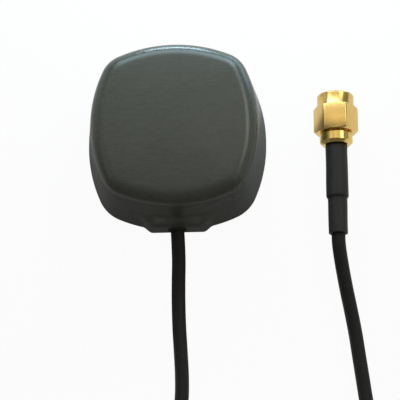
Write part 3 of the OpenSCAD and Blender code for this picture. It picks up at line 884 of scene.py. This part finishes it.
@dataclass
class Studio:
    """Camera, floor, lamps and world."""

    camera_mm: Point = (12.18, -80.04, 240.55)
    target_mm: Point = (4.56, -12.3, 0.0)
    camera_roll: float = math.radians(-7.45)
    lens_mm: float = 108.468
    sensor_mm: float = 36.0
    clip_near: float = 0.01
    floor_side: float = 6.0
    floor_mm: float = -0.05
    floor_grey: float = 0.86
    floor_mirrored: float = 0.2
    painted_shade_mm: Point = (0.0, -14.0, 0.0)
    painted_shade_radii: Pair = (27.0, 31.0)  # painted shade: the mirrored floor is dark within these radii of the centre above
    painted_front_shade: Pair = (-150.0, -130.0)  # painted shade too: dark in front of these
    white_seen: float = 0.95  # shares of plain white: to the camera,
    white_in_painted_shade: float = 0.1  # mirrored in the painted shade,
    white_mirrored: float = 0.78  # and mirrored out of it
    cool_white: Colour = (0.95, 0.96, 0.93)
    room_light: float = 0.13
    room_mirrored: float = 0.02

    def make_camera(self) -> None:
        """Set the camera where the photograph was taken from."""
        data = bpy.data.cameras.new("photo_camera")
        data.lens = self.lens_mm
        data.sensor_width = self.sensor_mm
        data.clip_start = self.clip_near
        camera = bpy.data.objects.new("photo_camera", data)
        bpy.context.scene.collection.objects.link(camera)
        camera.location = Vector(self.camera_mm) * MM
        aim = Vector(self.target_mm) - Vector(self.camera_mm)
        level = aim.to_track_quat("-Z", "Y").to_matrix()
        camera.rotation_euler = (level @ Matrix.Rotation(self.camera_roll, 3, "Z")).to_euler()
        bpy.context.scene.camera = camera
        bpy.context.scene.view_settings.view_transform = "Standard"

    @staticmethod
    def _rays(sheet: NodeSheet) -> tuple[Signal, Signal]:
        """Return two switches: for rays straight or through glass, and for mirrored rays.

        Args:
            sheet: The node sheet of the floor or the world.

        Returns:
            Both switches, 1 for such rays and 0 for others.
        """
        path = sheet.add("ShaderNodeLightPath")
        straight = Signal(sheet, path.outputs["Is Camera Ray"])
        through = Signal(sheet, path.outputs["Is Transmission Ray"])
        return straight.most(through), Signal(sheet, path.outputs["Is Glossy Ray"])

    def make_floor(self) -> None:
        """Lay a pale floor that looks white and keeps the object's shadow; as mirrored, it carries
        painted shade round the housing and far in front.
        """
        BENCH.put_down()
        bpy.ops.mesh.primitive_plane_add(
            size=self.floor_side, location=(0.0, 0.0, self.floor_mm * MM))
        floor = bpy.context.object
        floor.name = "studio_floor"
        material = bpy.data.materials.new("white studio floor")
        material.use_nodes = True
        sheet = NodeSheet(material.node_tree)
        seen, mirrored = self._rays(sheet)
        # Painted shade: as mirrored, the floor is painted dark within a ring round the housing and
        # far in front of it, standing in for shade that falls there; it shows white only outside
        # these.
        away = sheet.signal("ShaderNodeVectorMath", {"operation": "DISTANCE"}, {
            0: sheet.place(), 1: tuple(c * MM for c in self.painted_shade_mm)}, "Value")
        along = sheet.signal("ShaderNodeSeparateXYZ", {}, {0: sheet.place()}, "Y")
        clear = (sheet.between(away, *(edge * MM for edge in self.painted_shade_radii))
                 * sheet.between(along, *(edge * MM for edge in self.painted_front_shade)))
        bright = self.white_in_painted_shade + clear * (self.white_mirrored - self.white_in_painted_shade)
        share = (seen * self.white_seen).most(mirrored * bright)
        pale = sheet.blend(mirrored, grey(self.floor_grey), grey(self.floor_mirrored))
        lit = sheet.add("ShaderNodeBsdfDiffuse", {}, {"Color": pale})
        white = sheet.add("ShaderNodeEmission", {}, {
            "Color": sheet.blend(mirrored, grey(1.0), self.cool_white), "Strength": 1.0})
        both = sheet.add("ShaderNodeMixShader", {}, {
            0: share, 1: lit.outputs[0], 2: white.outputs[0]})
        sheet.add("ShaderNodeOutputMaterial", {}, {"Surface": both.outputs[0]})
        floor.data.materials.append(material)

    def make_world(self) -> None:
        """Fill the room with a little even light and show it white."""
        world = bpy.data.worlds.new("studio")
        world.use_nodes = True
        bpy.context.scene.world = world
        sheet = NodeSheet(world.node_tree)
        seen, mirrored = self._rays(sheet)
        level = self.room_light + seen * (1.0 - self.room_light) + mirrored * self.room_mirrored
        light = sheet.add("ShaderNodeBackground", {}, {
            "Color": opaque(grey(1.0)), "Strength": level})
        sheet.add("ShaderNodeOutputWorld", {}, {"Surface": light.outputs[0]})

    def make_lamps(self) -> None:
        """Hang the lamps."""
        for lamp in LAMPS:
            lamp.hang()


# The cable


@dataclass
class CoaxCable:
    """The whole coaxial cable: two free stretches and the put-away coil between them."""

    diameter: float = 2.8
    length_m: float = 3.0
    exit_mm: Point = (0.0, -19.6158, 2.8)
    ground: float = 1.4
    coil_middle: Pair = (17.0, -94.0)
    coil_in: float = 10.8
    coil_turns: float = 22.5
    coil_layers: int = 4
    pitch: float = 3.3
    coil_z: float = 2.1
    steps_per_turn: int = 48
    layer_climb: float = 0.5  # turns that a climb to the next layer takes
    smooth_steps: int = 5
    lead_in: float = 3.0
    skin_steps: int = 6
    curve: Piece | None = field(default=None, init=False)

    @property
    def layer(self) -> float:
        """Return the turns in one of the coil's layers."""
        return self.coil_turns / self.coil_layers

    @property
    def coil_out(self) -> float:
        """Return the radius of the outermost turn."""
        return self.coil_in + self.pitch * self.layer

    @property
    def coil_top(self) -> float:
        """Return the height of the top layer's centre line."""
        return self.coil_z + (self.coil_layers - 1) * self.pitch

    def radius_at(self, turns: float) -> float:
        """Return the coil's radius after some turns: in and out again, layer by layer."""
        w = turns % (2.0 * self.layer)
        return self.coil_out - self.pitch * (w if w < self.layer else 2.0 * self.layer - w)

    def coil_line(self) -> list[Vector]:
        """Return the coil's centre line, which climbs a layer wherever it turns back.

        Returns:
            Points in millimetres, from the housing's end on.
        """
        line = []
        for i in range(int(self.coil_turns * self.steps_per_turn) + 1):
            u = i / self.steps_per_turn
            radius = self.radius_at(u)
            climb = sum(ease((u - k * self.layer) / self.layer_climb + 0.5)
                        for k in range(1, self.coil_layers))
            angle = math.pi + 2.0 * math.pi * u
            line.append(Vector((
                self.coil_middle[0] + radius * math.cos(angle),
                self.coil_middle[1] + radius * math.sin(angle),
                self.coil_z + self.pitch * climb)))
        return line

    def antenna_route(self) -> list[Vector]:
        """Return the stretch from the housing to the coil.

        Returns:
            Points in millimetres.
        """
        x, y, z = self.exit_mm
        g = self.ground
        left = self.coil_middle[0] - self.coil_out
        top = self.coil_middle[1] + self.diameter
        return [Vector(p) for p in (
            (x, y, z), (x + 0.1, y - 2.6, z - 0.2), (0.15, -25.8, 2.0), (0.05, -29.5, 1.6),
            (0.0, -34.0, g), (0.1, -39.0, g), (0.35, -44.0, g), (0.55, -49.0, g), (0.4, -54.0, g),
            (-0.5, -59.0, g), (-2.2, -64.0, g), (-4.5, -69.0, g + 0.1), (-7.2, -74.0, g + 0.3),
            (-9.8, -79.0, g + 0.4), (-11.6, -83.5, g + 0.6),
            (left + 0.1, top + 4.0, self.coil_z - 0.1), (left, top, self.coil_z))]

    def plug_route(self) -> list[Vector]:
        """Return the stretch from the plug's sleeve to the coil.

        Returns:
            Points in millimetres.
        """
        g = self.ground
        start = PLUG_AT - SLEEVE_END * PLUG_DIR
        right = self.coil_middle[0] + self.coil_out
        top = self.coil_middle[1] + self.diameter
        return [start, start - 2.5 * PLUG_DIR + Vector((0.1, 0.0, -0.2))] + [Vector(p) for p in (
            (33.0, -27.5, 3.3), (33.7, -32.0, 2.5), (34.5, -36.5, 1.8), (35.2, -41.0, g),
            (35.7, -45.5, g), (36.2, -50.0, g), (36.7, -54.5, g), (37.3, -59.0, 1.6),
            (38.6, -63.8, 2.4), (40.4, -68.5, 3.7), (42.5, -73.5, 5.6), (44.4, -78.0, 7.8),
            (45.7, -82.5, 9.9), (46.3, -87.0, 11.5), (right, top, self.coil_top))]

    def smoothed(self, route: list[Vector], before: Vector, after: Vector) -> list[Vector]:
        """Return a route with a smooth curve through its points.

        Args:
            route: Points in millimetres.
            before: A point ahead of the first, which sets the first direction.
            after: A point past the last, which sets the last direction.

        Returns:
            More points along the curve, with both ends kept.
        """
        full = [before, *route, after]
        line = []
        for a, b, c, d in zip(full, full[1:], full[2:], full[3:]):
            for k in range(self.smooth_steps):
                t = k / self.smooth_steps
                line.append(0.5 * (
                    2.0 * b + (c - a) * t + (2.0 * a - 5.0 * b + 4.0 * c - d) * t ** 2
                    + (3.0 * b - a - 3.0 * c + d) * t ** 3))
        return line + [route[-1]]

    def build(self) -> None:
        """Lay the cable as one open curve."""
        coil = self.coil_line()
        out = self.antenna_route()
        back = self.plug_route()
        first = self.smoothed(out, out[0] + Vector((0.0, self.lead_in, 0.0)), coil[0])
        last = self.smoothed(back, back[0] + self.lead_in * PLUG_DIR, coil[-1])
        line = first + coil + last[::-1]
        data = bpy.data.curves.new("coax_cable", "CURVE")
        data.dimensions = "3D"
        data.bevel_depth = self.diameter / 2.0 * MM
        data.bevel_resolution = self.skin_steps
        data.use_fill_caps = True
        spline = data.splines.new("POLY")
        spline.points.add(len(line) - 1)
        for point, place in zip(spline.points, line):
            point.co = (*(place * MM), 1.0)
        spline.use_smooth = True
        self.curve = bpy.data.objects.new("coax_cable", data)
        bpy.context.scene.collection.objects.link(self.curve)
        finish_piece(self.curve, CABLE_VINYL, Body.ANTENNA,
                     ("antenna_lead", "cable_coil", "plug_lead"))


@dataclass
class CoilTie:
    """The strip that holds the coil, with its ends twisted together."""

    coil: CoaxCable
    strip: float = 0.6
    width: float = 3.0
    play: float = 0.1
    corner: float = 1.0
    corner_steps: int = 8
    tail_l: float = 7.0
    tail_steps: int = 48
    tail_turn: float = math.radians(864.0)
    tail_sunk: float = 0.25
    # Section of the two twisted ends, side by side
    strand: tuple[Pair, ...] = (
        (0.9, 0.2), (0.75, 0.35), (-0.75, 0.35), (-0.9, 0.2),
        (-0.9, -0.2), (-0.75, -0.35), (0.75, -0.35), (0.9, -0.2))
    edge: float = 0.16
    tie_turn: float = 0.25  # where on a turn the tie holds the coil
    smooth_to: float = math.radians(40.0)

    def _frame(self, grow: float) -> list[Pair]:
        """Return the strip's path round the bundle, in the upright plane of the coil's axis.

        Args:
            grow: How far the path lies outside the bundle's clearance.

        Returns:
            Distance from the coil's axis and height of each point.
        """
        passes = range(int(self.coil.coil_turns + 1.0 - self.tie_turn))
        radii = [self.coil.radius_at(k + self.tie_turn) for k in passes]
        r = self.corner + grow
        inset = r - self.coil.diameter / 2.0 - self.play - grow
        near, far = min(radii) + inset, max(radii) - inset
        low, high = self.coil.coil_z + inset, self.coil.coil_top - inset
        path = []
        for start, x, z in ((0, far, high), (90, near, high), (180, near, low), (270, far, low)):
            for k in range(self.corner_steps + 1):
                a = math.radians(start + 90.0 * k / self.corner_steps)
                path.append((x + r * math.cos(a), z + r * math.sin(a)))
        return path

    def build(self) -> Piece:
        """Make the strip and its twisted tail.

        Returns:
            The finished tie.
        """
        x, y = self.coil.coil_middle
        inner, outer = self._frame(0.0), self._frame(self.strip)
        half = self.width / 2.0
        band = BENCH.solid("coil_tie_strip", [
            [(x + side, y - a, z) for a, z in path]
            for side, path in ((-half, inner), (half, inner), (half, outer), (-half, outer))],
            joined=True)
        BENCH.soften(band, self.edge)
        start = y - max(a for a, _ in outer) + self.tail_sunk
        height = (self.coil.coil_z + self.coil.coil_top) / 2.0
        rings = []
        for k in range(self.tail_steps + 1):
            a = self.tail_turn * k / self.tail_steps
            rings.append([
                (x + p * math.cos(a) - q * math.sin(a), start - self.tail_l * k / self.tail_steps,
                 height + p * math.sin(a) + q * math.cos(a)) for p, q in self.strand])
        tail = BENCH.solid("coil_tie_tail", rings)
        BENCH.combine(band, tail, Join.ADD)
        BENCH.smooth(self.smooth_to)
        return finish_piece(band, TIE_STRIP, Body.ANTENNA, ("coil_tie",))


# The housing


@dataclass
class Housing:
    """The moulded cover with its cable outlet, the base and what fastens them."""

    side_r: float = 30.0
    corner_r: float = 7.8
    half_stretch: float = 0.3
    skirt_z: float = 0.4
    skirt_r: float = 0.25
    draft: float = math.radians(8.0)
    edge_r: float = 3.5
    crown: float = 0.4
    wall: float = 1.6
    ceiling: float = 14.0
    roof: float = 1.2
    patch_side: float = 18.0
    patch_gap: float = 0.6
    boss_out: float = 0.4
    boss_half: float = 5.2
    boss_blend: float = 2.0
    boss_flat: float = 4.2
    boss_fade: float = 4.0
    boss_taper: float = 0.45
    boss_soften: float = 1.5  # how much softer the outlet's cheeks get on their way up
    cable_z: float = 2.8
    cable_r: float = 1.4
    bush_wall: float = 0.4
    bush_out: float = 0.3
    bush_seat: float = 0.3
    bush_play: float = 0.01
    # Radius and distance of the lip's points from the bush's side and the outlet's face
    bush_lip: tuple[Pair, ...] = (
        (-0.01, -0.05), (0.12, 0.02), (0.15, 0.1), (0.1, 0.2), (-0.05, 0.28))
    bush_mouth: tuple[Pair, ...] = ((0.12, 0.0), (0.02, -0.06))  # from the cable and the bush's end
    bore_spare: Pair = (2.5, 2.0)  # inside and outside the wall
    post_r: float = 1.6
    post_gap: float = 0.4
    post_z: float = 2.4
    screw_r: float = 0.9
    screw_top: float = 7.4
    screw_spare: float = 1.0
    pad_r: float = 11.5
    pad_t: float = 0.8
    pad_hub: float = 0.2
    pad_groove: float = 0.82
    # Radius and height of points from the groove's middle, and from the pad's rim
    groove_section: tuple[Pair, ...] = ((-0.35, 0.0), (-0.2, 0.12), (0.2, 0.12), (0.35, 0.0))
    pad_edge: tuple[Pair, ...] = ((-0.22, 0.0), (-0.09, 0.03), (-0.02, 0.1), (0.0, 0.22))
    side_steps: int = 16
    front_steps: int = 72
    corner_steps: int = 14
    wall_steps: int = 26
    edge_steps: int = 16
    skirt_steps: int = 4
    # Shares of the rim's plan
    crown_rings: tuple[float, ...] = (0.93, 0.82, 0.68, 0.52, 0.36, 0.2, 0.08)
    post_sides: int = 32
    bore_sides: int = 48
    pad_sides: int = 96

    def __post_init__(self) -> None:
        """Work out the sizes that follow from the others, as the part's source does."""
        self.lean: float = math.tan(self.draft)
        self.ceiling_inset: float = self.wall + (self.ceiling - self.skirt_z) * self.lean
        self.edge_z: float = self.ceiling + self.roof - self.edge_r
        self.post_x: float = (
            self.patch_side / 2.0 + (self.patch_gap + self.post_r) / math.sqrt(2.0))
        self.post_y: float = self.post_x + self.half_stretch
        spare = self.corner_r - self.ceiling_inset - self.post_r - self.post_gap
        self.corner_c: float = self.post_x - spare / math.sqrt(2.0)
        reach = (self.side_r - self.corner_r) ** 2 - self.corner_c ** 2
        self.side_c: float = self.corner_c - math.sqrt(reach)
        self.side_turn: float = math.atan2(self.corner_c, self.corner_c - self.side_c)
        half_w = self.side_r + self.side_c
        half_l = half_w + self.half_stretch
        self.crown_turn: float = math.atan(2.0 * self.crown / (half_w - self.ceiling_inset))
        self.outlet_y: float = half_l + self.boss_out
        self.bush_r: float = self.cable_r + self.bush_wall
        self.bush_y: float = self.outlet_y + self.bush_out
        inner_wall = half_l - self.wall - (self.cable_z - self.skirt_z) * self.lean
        self.bush_in_y: float = inner_wall + self.bush_seat

    def outline(self, inset: float) -> list[Pair]:
        """Return the housing's plan, drawn in by an inset.

        Args:
            inset: Distance inside the lower edge's plan.

        Returns:
            Points from the right side by the back and the left to the front.
        """
        points = []
        for k in range(4):
            steps = self.front_steps if k == 3 else self.side_steps
            quarter = []
            for i in range(steps):
                t = self.side_turn * (2.0 * i / steps - 1.0)
                r = self.side_r - inset
                quarter.append((self.side_c + r * math.cos(t), r * math.sin(t)))
            for i in range(self.corner_steps):
                t = self.side_turn + (math.pi / 2.0 - 2.0 * self.side_turn) * i / self.corner_steps
                r = self.corner_r - inset
                quarter.append((self.corner_c + r * math.cos(t), self.corner_c + r * math.sin(t)))
            for x, y in quarter:
                for _ in range(k):
                    x, y = -y, x
                points.append((x, y + math.copysign(self.half_stretch, y)))
        return points

    def outer_ring(self, inset: float, z: float) -> Ring:
        """Return a ring of the outer skin, with the cable outlet pulled out of its front.

        Args:
            inset: Distance inside the lower edge's plan.
            z: Height of the ring.

        Returns:
            The ring's points.
        """
        ring = []
        foot = max(0.0, self.skirt_z + self.skirt_r - z)
        rise = ease((z - self.skirt_z) / (self.boss_flat + self.boss_fade))
        half = self.boss_half * (1.0 - self.boss_taper * rise)
        blend = self.boss_blend * (1.0 + self.boss_soften * rise)
        hold = 1.0 - ease((z - self.skirt_z - self.boss_flat) / self.boss_fade)
        for x, y in self.outline(inset):
            if y < 0.0:
                pull = hold * (1.0 - ease((abs(x) - half) / blend))
                y -= (self.outlet_y - foot + y) * pull
            ring.append((x, y, z))
        return ring

    def wall_section(self) -> list[Pair]:
        """Return the wall's upright section from the lower edge to the rim of the top face.

        Returns:
            Inset and height of each step.
        """
        tangent = self.edge_z + self.edge_r * math.sin(self.draft)
        edge_inset = (tangent - self.skirt_z) * self.lean + self.edge_r * math.cos(self.draft)
        steps = []
        for k in range(self.skirt_steps + 1):
            a = math.pi / 2.0 * k / self.skirt_steps
            steps.append((self.skirt_r * (1.0 - math.sin(a)),
                          self.skirt_z + self.skirt_r * (1.0 - math.cos(a))))
        foot = self.skirt_z + self.skirt_r
        for k in range(1, self.wall_steps):
            z = foot + k * (tangent - foot) / self.wall_steps
            steps.append(((z - self.skirt_z) * self.lean, z))
        for k in range(self.edge_steps + 1):
            a = self.draft + k * (math.pi / 2.0 - self.crown_turn - self.draft) / self.edge_steps
            steps.append((edge_inset - self.edge_r * math.cos(a),
                          self.edge_z + self.edge_r * math.sin(a)))
        return steps

    def build_cover(self) -> Piece:
        """Loft the cover's shell, add its screw posts and bore its outlet.

        Returns:
            The finished cover.
        """
        inner = [[(x, y, z) for x, y in self.outline(inset)]
                 for inset, z in ((self.ceiling_inset, self.ceiling), (self.wall, self.skirt_z))]
        section = self.wall_section()
        outer = [self.outer_ring(inset, z) for inset, z in section]
        top_inset, top_z = section[-1]
        rim = self.outline(top_inset)
        crown = [[(x * s, y * s, top_z + self.crown * (1.0 - s * s)) for x, y in rim]
                 for s in self.crown_rings]
        cover = BENCH.solid("top_cover_skin", [*inner, *outer, *crown])
        hole_ends = (self.post_z - self.screw_spare, self.screw_top)
        tools = (
            ("screw_post", self.post_r, (self.post_z, self.ceiling + self.roof / 2.0), Join.ADD),
            ("screw_hole", self.screw_r, hole_ends, Join.CUT))
        for x in (-self.post_x, self.post_x):
            for y in (-self.post_y, self.post_y):
                for name, r, ends, how in tools:
                    tool = BENCH.solid(name, [
                        [(x + a, y + b, z) for a, b in circle(r, self.post_sides)] for z in ends])
                    BENCH.combine(cover, tool, how)
        inside, outside = self.bore_spare
        bore = BENCH.solid("outlet_bore", [
            self._outlet_ring(self.bush_r, y)
            for y in (self.bush_in_y - inside, self.outlet_y + outside)])
        BENCH.combine(cover, bore, Join.CUT)
        BENCH.smooth()
        return finish_piece(cover, COVER_PLASTIC, Body.ANTENNA, ("top_cover",))

    def _outlet_ring(self, r: float, y: float) -> Ring:
        """Return a circle round the cable's axis, at a distance in front of the middle."""
        return [(a, -y, self.cable_z + b) for a, b in circle(r, self.bore_sides)]

    def build_bush(self) -> Piece:
        """Turn the rubber bush, with a rolled lip where the cable leaves it.

        Returns:
            The finished bush.
        """
        section = [
            (self.cable_r + self.bush_play / 2.0, self.bush_in_y),
            (self.bush_r - self.bush_play, self.bush_in_y),
            *((self.bush_r + r, self.outlet_y + y) for r, y in self.bush_lip),
            *((self.cable_r + r, self.bush_y + y) for r, y in self.bush_mouth)]
        bush = BENCH.solid(
            "cable_bush_skin", [self._outlet_ring(r, y) for r, y in section], joined=True)
        return finish_piece(bush, BLACK_RUBBER, Body.ANTENNA, ("cable_bush",))

    def build_pad(self) -> Piece:
        """Turn the foot pad, with a moulded groove and a soft lower edge.

        Returns:
            The finished pad.
        """
        groove = self.pad_groove * self.pad_r
        section = [
            (self.pad_hub, 0.0), *((groove + r, z) for r, z in self.groove_section),
            *((self.pad_r + r, z) for r, z in self.pad_edge),
            (self.pad_r, self.pad_t), (self.pad_hub, self.pad_t)]
        pad = BENCH.solid("base_pad_skin", [
            [(a, b, z) for a, b in circle(r, self.pad_sides)] for r, z in section])
        return finish_piece(pad, BLACK_RUBBER, Body.ANTENNA, ("base_pad",))

    def build(self) -> None:
        """Make the housing's pieces and dress its CAD nodes."""
        self.build_cover()
        self.build_bush()
        self.build_pad()
        dress_nodes({
            "base_plate": BASE_PLASTIC, "edge_seal": BLACK_RUBBER, "magnets": NICKEL,
            "base_screws": DARK_STEEL})


@dataclass
class FrontEnd:
    """The patch antenna, its amplifier board and the cable's bared end."""

    finishes: dict[str, Finish] = field(default_factory=lambda: {
        "ceramic_patch": PATCH_CERAMIC, "patch_face": SILVER_FILM, "feed_pin": TINNED,
        "patch_tape": MOUNT_TAPE, "circuit_board": BOARD, "shield_can": TINNED,
        "amplifier_chip": CHIP_PLASTIC, "filter_chip": CHIP_CERAMIC, "chip_parts": CHIP_CERAMIC,
        "board_jacket": CABLE_VINYL, "board_braid": COPPER_BRAID, "board_core": WHITE_CORE,
        "board_wire": COPPER_WIRE, "ground_clip": TINNED})

    def build(self) -> None:
        """Dress the CAD nodes inside the housing."""
        dress_nodes(self.finishes)


# The plug


@dataclass
class Plug:
    """The screw-on coaxial plug, measured back from the nut's front face."""

    nut_edge: float = 0.26
    nut_edge_steps: int = 4
    nut_edge_from: float = 50.0
    fine_edge: float = 0.07
    nut_chamfer: float = math.radians(30.0)
    chamfer_reach: float = 1.5  # depth of a chamfer's cone, as a share of the corner's own
    chamfer_inset: float = 0.05
    chamfer_spare: float = 0.1
    hex_spare: float = 0.6
    hair: float = 0.001  # keeps two faces from falling together
    hex_l: float = 5.6
    collar_r: float = 3.75
    collar_l: float = 2.65
    collar_chamfer: float = 0.3
    collar_sunk: float = 0.5
    bore_r: float = 3.175
    bore_chamfer: float = 0.35
    bore_spare: float = 1.0
    nut_floor: float = 6.2
    neck_r: float = 2.5
    neck_gap: float = 0.06
    ring_z: float = 6.7
    ring_t: float = 0.4
    ring_play: float = 0.15
    groove_d: float = 0.4
    thread_pitch: float = 0.7056
    thread_turns: int = 4
    thread_start: float = 0.95
    thread_tip: float = 2.92
    thread_sunk: float = 0.015
    thread_half: float = 0.31
    thread_flat: float = 0.06
    thread_steps: int = 72
    sides: int = 96
    barrel_end: float = 10.85
    ferrule_end: float = 21.45
    ferrule_r: float = 1.7
    cable_r: float = 1.4
    sleeve_wall: float = 0.55
    sleeve_gap: float = 0.01
    # Radius and distance from its wide end
    sleeve_front: tuple[Pair, ...] = ((-0.2, 0.02), (-0.06, 0.06), (0.0, 0.2))
    sleeve_tail: tuple[Pair, ...] = ((-0.05, -0.08), (-0.16, -0.01))  # and from its thin end
    sleeve_steps: tuple[int, int, int] = (14, 8, 12)  # along the ferrule, the slope and the cable
    shoulder: float = 0.2
    slope: float = 0.7
    tail_round: float = 0.15
    ripple: float = 0.022
    ripple_from: float = 1.5
    sleeve_sides: int = 56

    @property
    def nut_l(self) -> float:
        """Return the nut's whole length."""
        return self.collar_l + self.hex_l

    @staticmethod
    def ring(r: float, z: float, sides: int, turn: float = 0.0,
             swell: Callable[[float], float] | None = None) -> Ring:
        """Return a circle round the plug's axis.

        Args:
            r: Its radius.
            z: Its distance behind the nut's front face.
            sides: Its number of points.
            turn: Angle of its first point.
            swell: Added to the radius at each angle.

        Returns:
            The ring.
        """
        points = []
        for i in range(sides):
            a = turn + 2.0 * math.pi * i / sides
            reach = r + (swell(a) if swell else 0.0)
            points.append(tuple(
                PLUG_AT - z * PLUG_DIR + reach * (math.cos(a) * PLUG_SIDE + math.sin(a) * PLUG_UP)))
        return points

    def turned(self, name: str, section: Sequence[Pair], joined: bool = False) -> Piece:
        """Turn a solid about the plug's axis from its section's radii and distances."""
        return BENCH.solid(name, [self.ring(r, z, self.sides) for r, z in section], joined)

    def build_nut(self) -> Piece:
        """Cut the nut from a hexagon: chamfers, collar, bore and snap-ring groove.

        Returns:
            The finished nut.
        """
        flat = NUT_AF / 2.0
        cone = self.chamfer_reach * (NUT_CORNER - flat) * math.tan(self.nut_chamfer)
        nut = BENCH.solid("coupling_nut_skin", [
            self.ring(NUT_CORNER, z, 6, NUT_TURN)
            for z in (self.collar_l - self.hex_spare, self.nut_l + self.hex_spare)])
        BENCH.soften(nut, self.nut_edge, self.nut_edge_steps, self.nut_edge_from)
        narrow, wide = flat - self.chamfer_inset, NUT_CORNER + self.chamfer_spare
        chamfers = self.turned("nut_chamfers", [
            (narrow, self.collar_l - self.hair), (wide, self.collar_l + cone),
            (wide, self.nut_l - cone), (narrow, self.nut_l + self.hair)])
        BENCH.combine(nut, chamfers, Join.KEEP_COMMON)
        collar = self.turned("nut_collar", [
            (self.collar_r - self.collar_chamfer, 0.0), (self.collar_r, self.collar_chamfer),
            (self.collar_r, self.collar_l + self.collar_sunk)])
        BENCH.combine(nut, collar, Join.ADD)
        neck = self.neck_r + self.neck_gap
        mouth = self.bore_r + self.bore_chamfer
        bore = self.turned("nut_bore", [
            (mouth, -self.bore_spare), (mouth, 0.0), (self.bore_r, self.bore_chamfer),
            (self.bore_r, self.nut_floor), (neck, self.nut_floor),
            (neck, self.nut_l + self.bore_spare)])
        BENCH.combine(nut, bore, Join.CUT)
        front, back = self.ring_z - self.ring_play, self.ring_z + self.ring_t + self.ring_play
        deep = self.neck_r + self.groove_d
        groove = self.turned("nut_groove", [
            (self.neck_r, front), (deep, front), (deep, back), (self.neck_r, back)], joined=True)
        BENCH.combine(nut, groove, Join.CUT)
        BENCH.soften(nut, self.fine_edge)
        return finish_piece(nut, NUT_GOLD, Body.NUT, ("coupling_nut",))

    def build_thread(self) -> Piece:
        """Wind the nut's inner thread as one ridge.

        Returns:
            The finished thread.
        """
        root = self.bore_r + self.thread_sunk
        ridge = BENCH.start("nut_thread", [
            (root, 0.0, -self.thread_half), (self.thread_tip, 0.0, -self.thread_flat),
            (self.thread_tip, 0.0, self.thread_flat), (root, 0.0, self.thread_half)])
        bpy.ops.object.mode_set(mode="OBJECT")
        BENCH.apply(ridge, "SCREW", axis="Z", angle=2.0 * math.pi,
                    screw_offset=self.thread_pitch * MM, iterations=self.thread_turns,
                    steps=self.thread_steps, render_steps=self.thread_steps,
                    use_merge_vertices=False)
        bpy.ops.object.mode_set(mode="EDIT")
        BENCH.close_ends()
        BENCH.close()
        start = Matrix.Translation((PLUG_AT - self.thread_start * PLUG_DIR) * MM)
        ridge.matrix_world = start @ (-PLUG_DIR).to_track_quat("Z", "Y").to_matrix().to_4x4()
        BENCH.take(ridge)
        bpy.ops.object.transform_apply(location=True, rotation=True, scale=True)
        return finish_piece(ridge, NUT_GOLD, Body.NUT)

    def build_sleeve(self) -> Piece:
        """Shrink the tubing over the ferrule and the cable, a little uneven as such tubing is.

        Returns:
            The finished sleeve.
        """
        wide = self.ferrule_r + self.sleeve_wall
        thin = self.cable_r + self.sleeve_wall
        face, step = self.barrel_end, self.ferrule_end
        along, down, after = self.sleeve_steps
        low = step + self.shoulder + self.slope
        run = SLEEVE_END - self.tail_round - low
        outer = [
            *((wide + r, face + z) for r, z in self.sleeve_front),
            *((wide, face + self.shoulder + (step - face) * k / along)
              for k in range(1, along + 1)),
            *((wide - (wide - thin) * ease(k / down), step + self.shoulder + self.slope * k / down)
              for k in range(1, down + 1)),
            *((thin, low + run * k / after) for k in range(1, after + 1)),
            *((thin + r, SLEEVE_END + z) for r, z in self.sleeve_tail)]
        rings = []
        for r, z in outer:
            swing = self.ripple * ease((z - face) / self.ripple_from)
            rings.append(self.ring(r, z, self.sleeve_sides, swell=lambda a: swing * (
                math.sin(2.0 * a + 0.35 * z) + 0.6 * math.sin(3.0 * a - 0.8 * z + 1.0))))
        over_cable, over_ferrule = self.cable_r + self.sleeve_gap, self.ferrule_r + self.sleeve_gap
        inner = [(over_cable, SLEEVE_END + self.sleeve_tail[-1][1]), (over_cable, step),
                 (over_ferrule, step), (over_ferrule, face + self.sleeve_front[0][1])]
        rings += [self.ring(r, z, self.sleeve_sides) for r, z in inner]
        sleeve = BENCH.solid("shrink_sleeve_skin", rings, joined=True)
        return finish_piece(sleeve, SHRINK_TUBE, Body.ANTENNA, ("shrink_sleeve",))

    def build(self) -> list[Piece | str]:
        """Make the plug's pieces and dress its CAD nodes.

        Returns:
            Everything that is on the cable's end.
        """
        made = [self.build_nut(), self.build_thread(), self.build_sleeve()]
        finishes = {
            "plug_body": GOLD_PLATE, "snap_ring": NICKEL, "seal_ring": SEAL_RUBBER,
            "plug_insulator": WHITE_CORE, "centre_contact": GOLD_PLATE,
            "crimp_ferrule": FERRULE_GOLD, "plug_jacket": CABLE_VINYL,
            "plug_braid": COPPER_BRAID, "plug_core": WHITE_CORE,
            "plug_wire": COPPER_WIRE}
        dress_nodes(finishes)
        return [*made, *finishes]


def main() -> None:
    """Build the scene: camera and cable first, then the housing, the plug and the studio."""
    logging.basicConfig(level=logging.INFO, format="%(name)s: %(message)s")
    BENCH.put_down()
    studio = Studio()
    studio.make_camera()
    cable = CoaxCable()
    cable.build()
    tie = CoilTie(cable).build()
    Housing().build()
    FrontEnd().build()
    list(Plug().build())
    studio.make_floor()
    studio.make_world()
    studio.make_lamps()


if __name__ == "__main__":
    main()
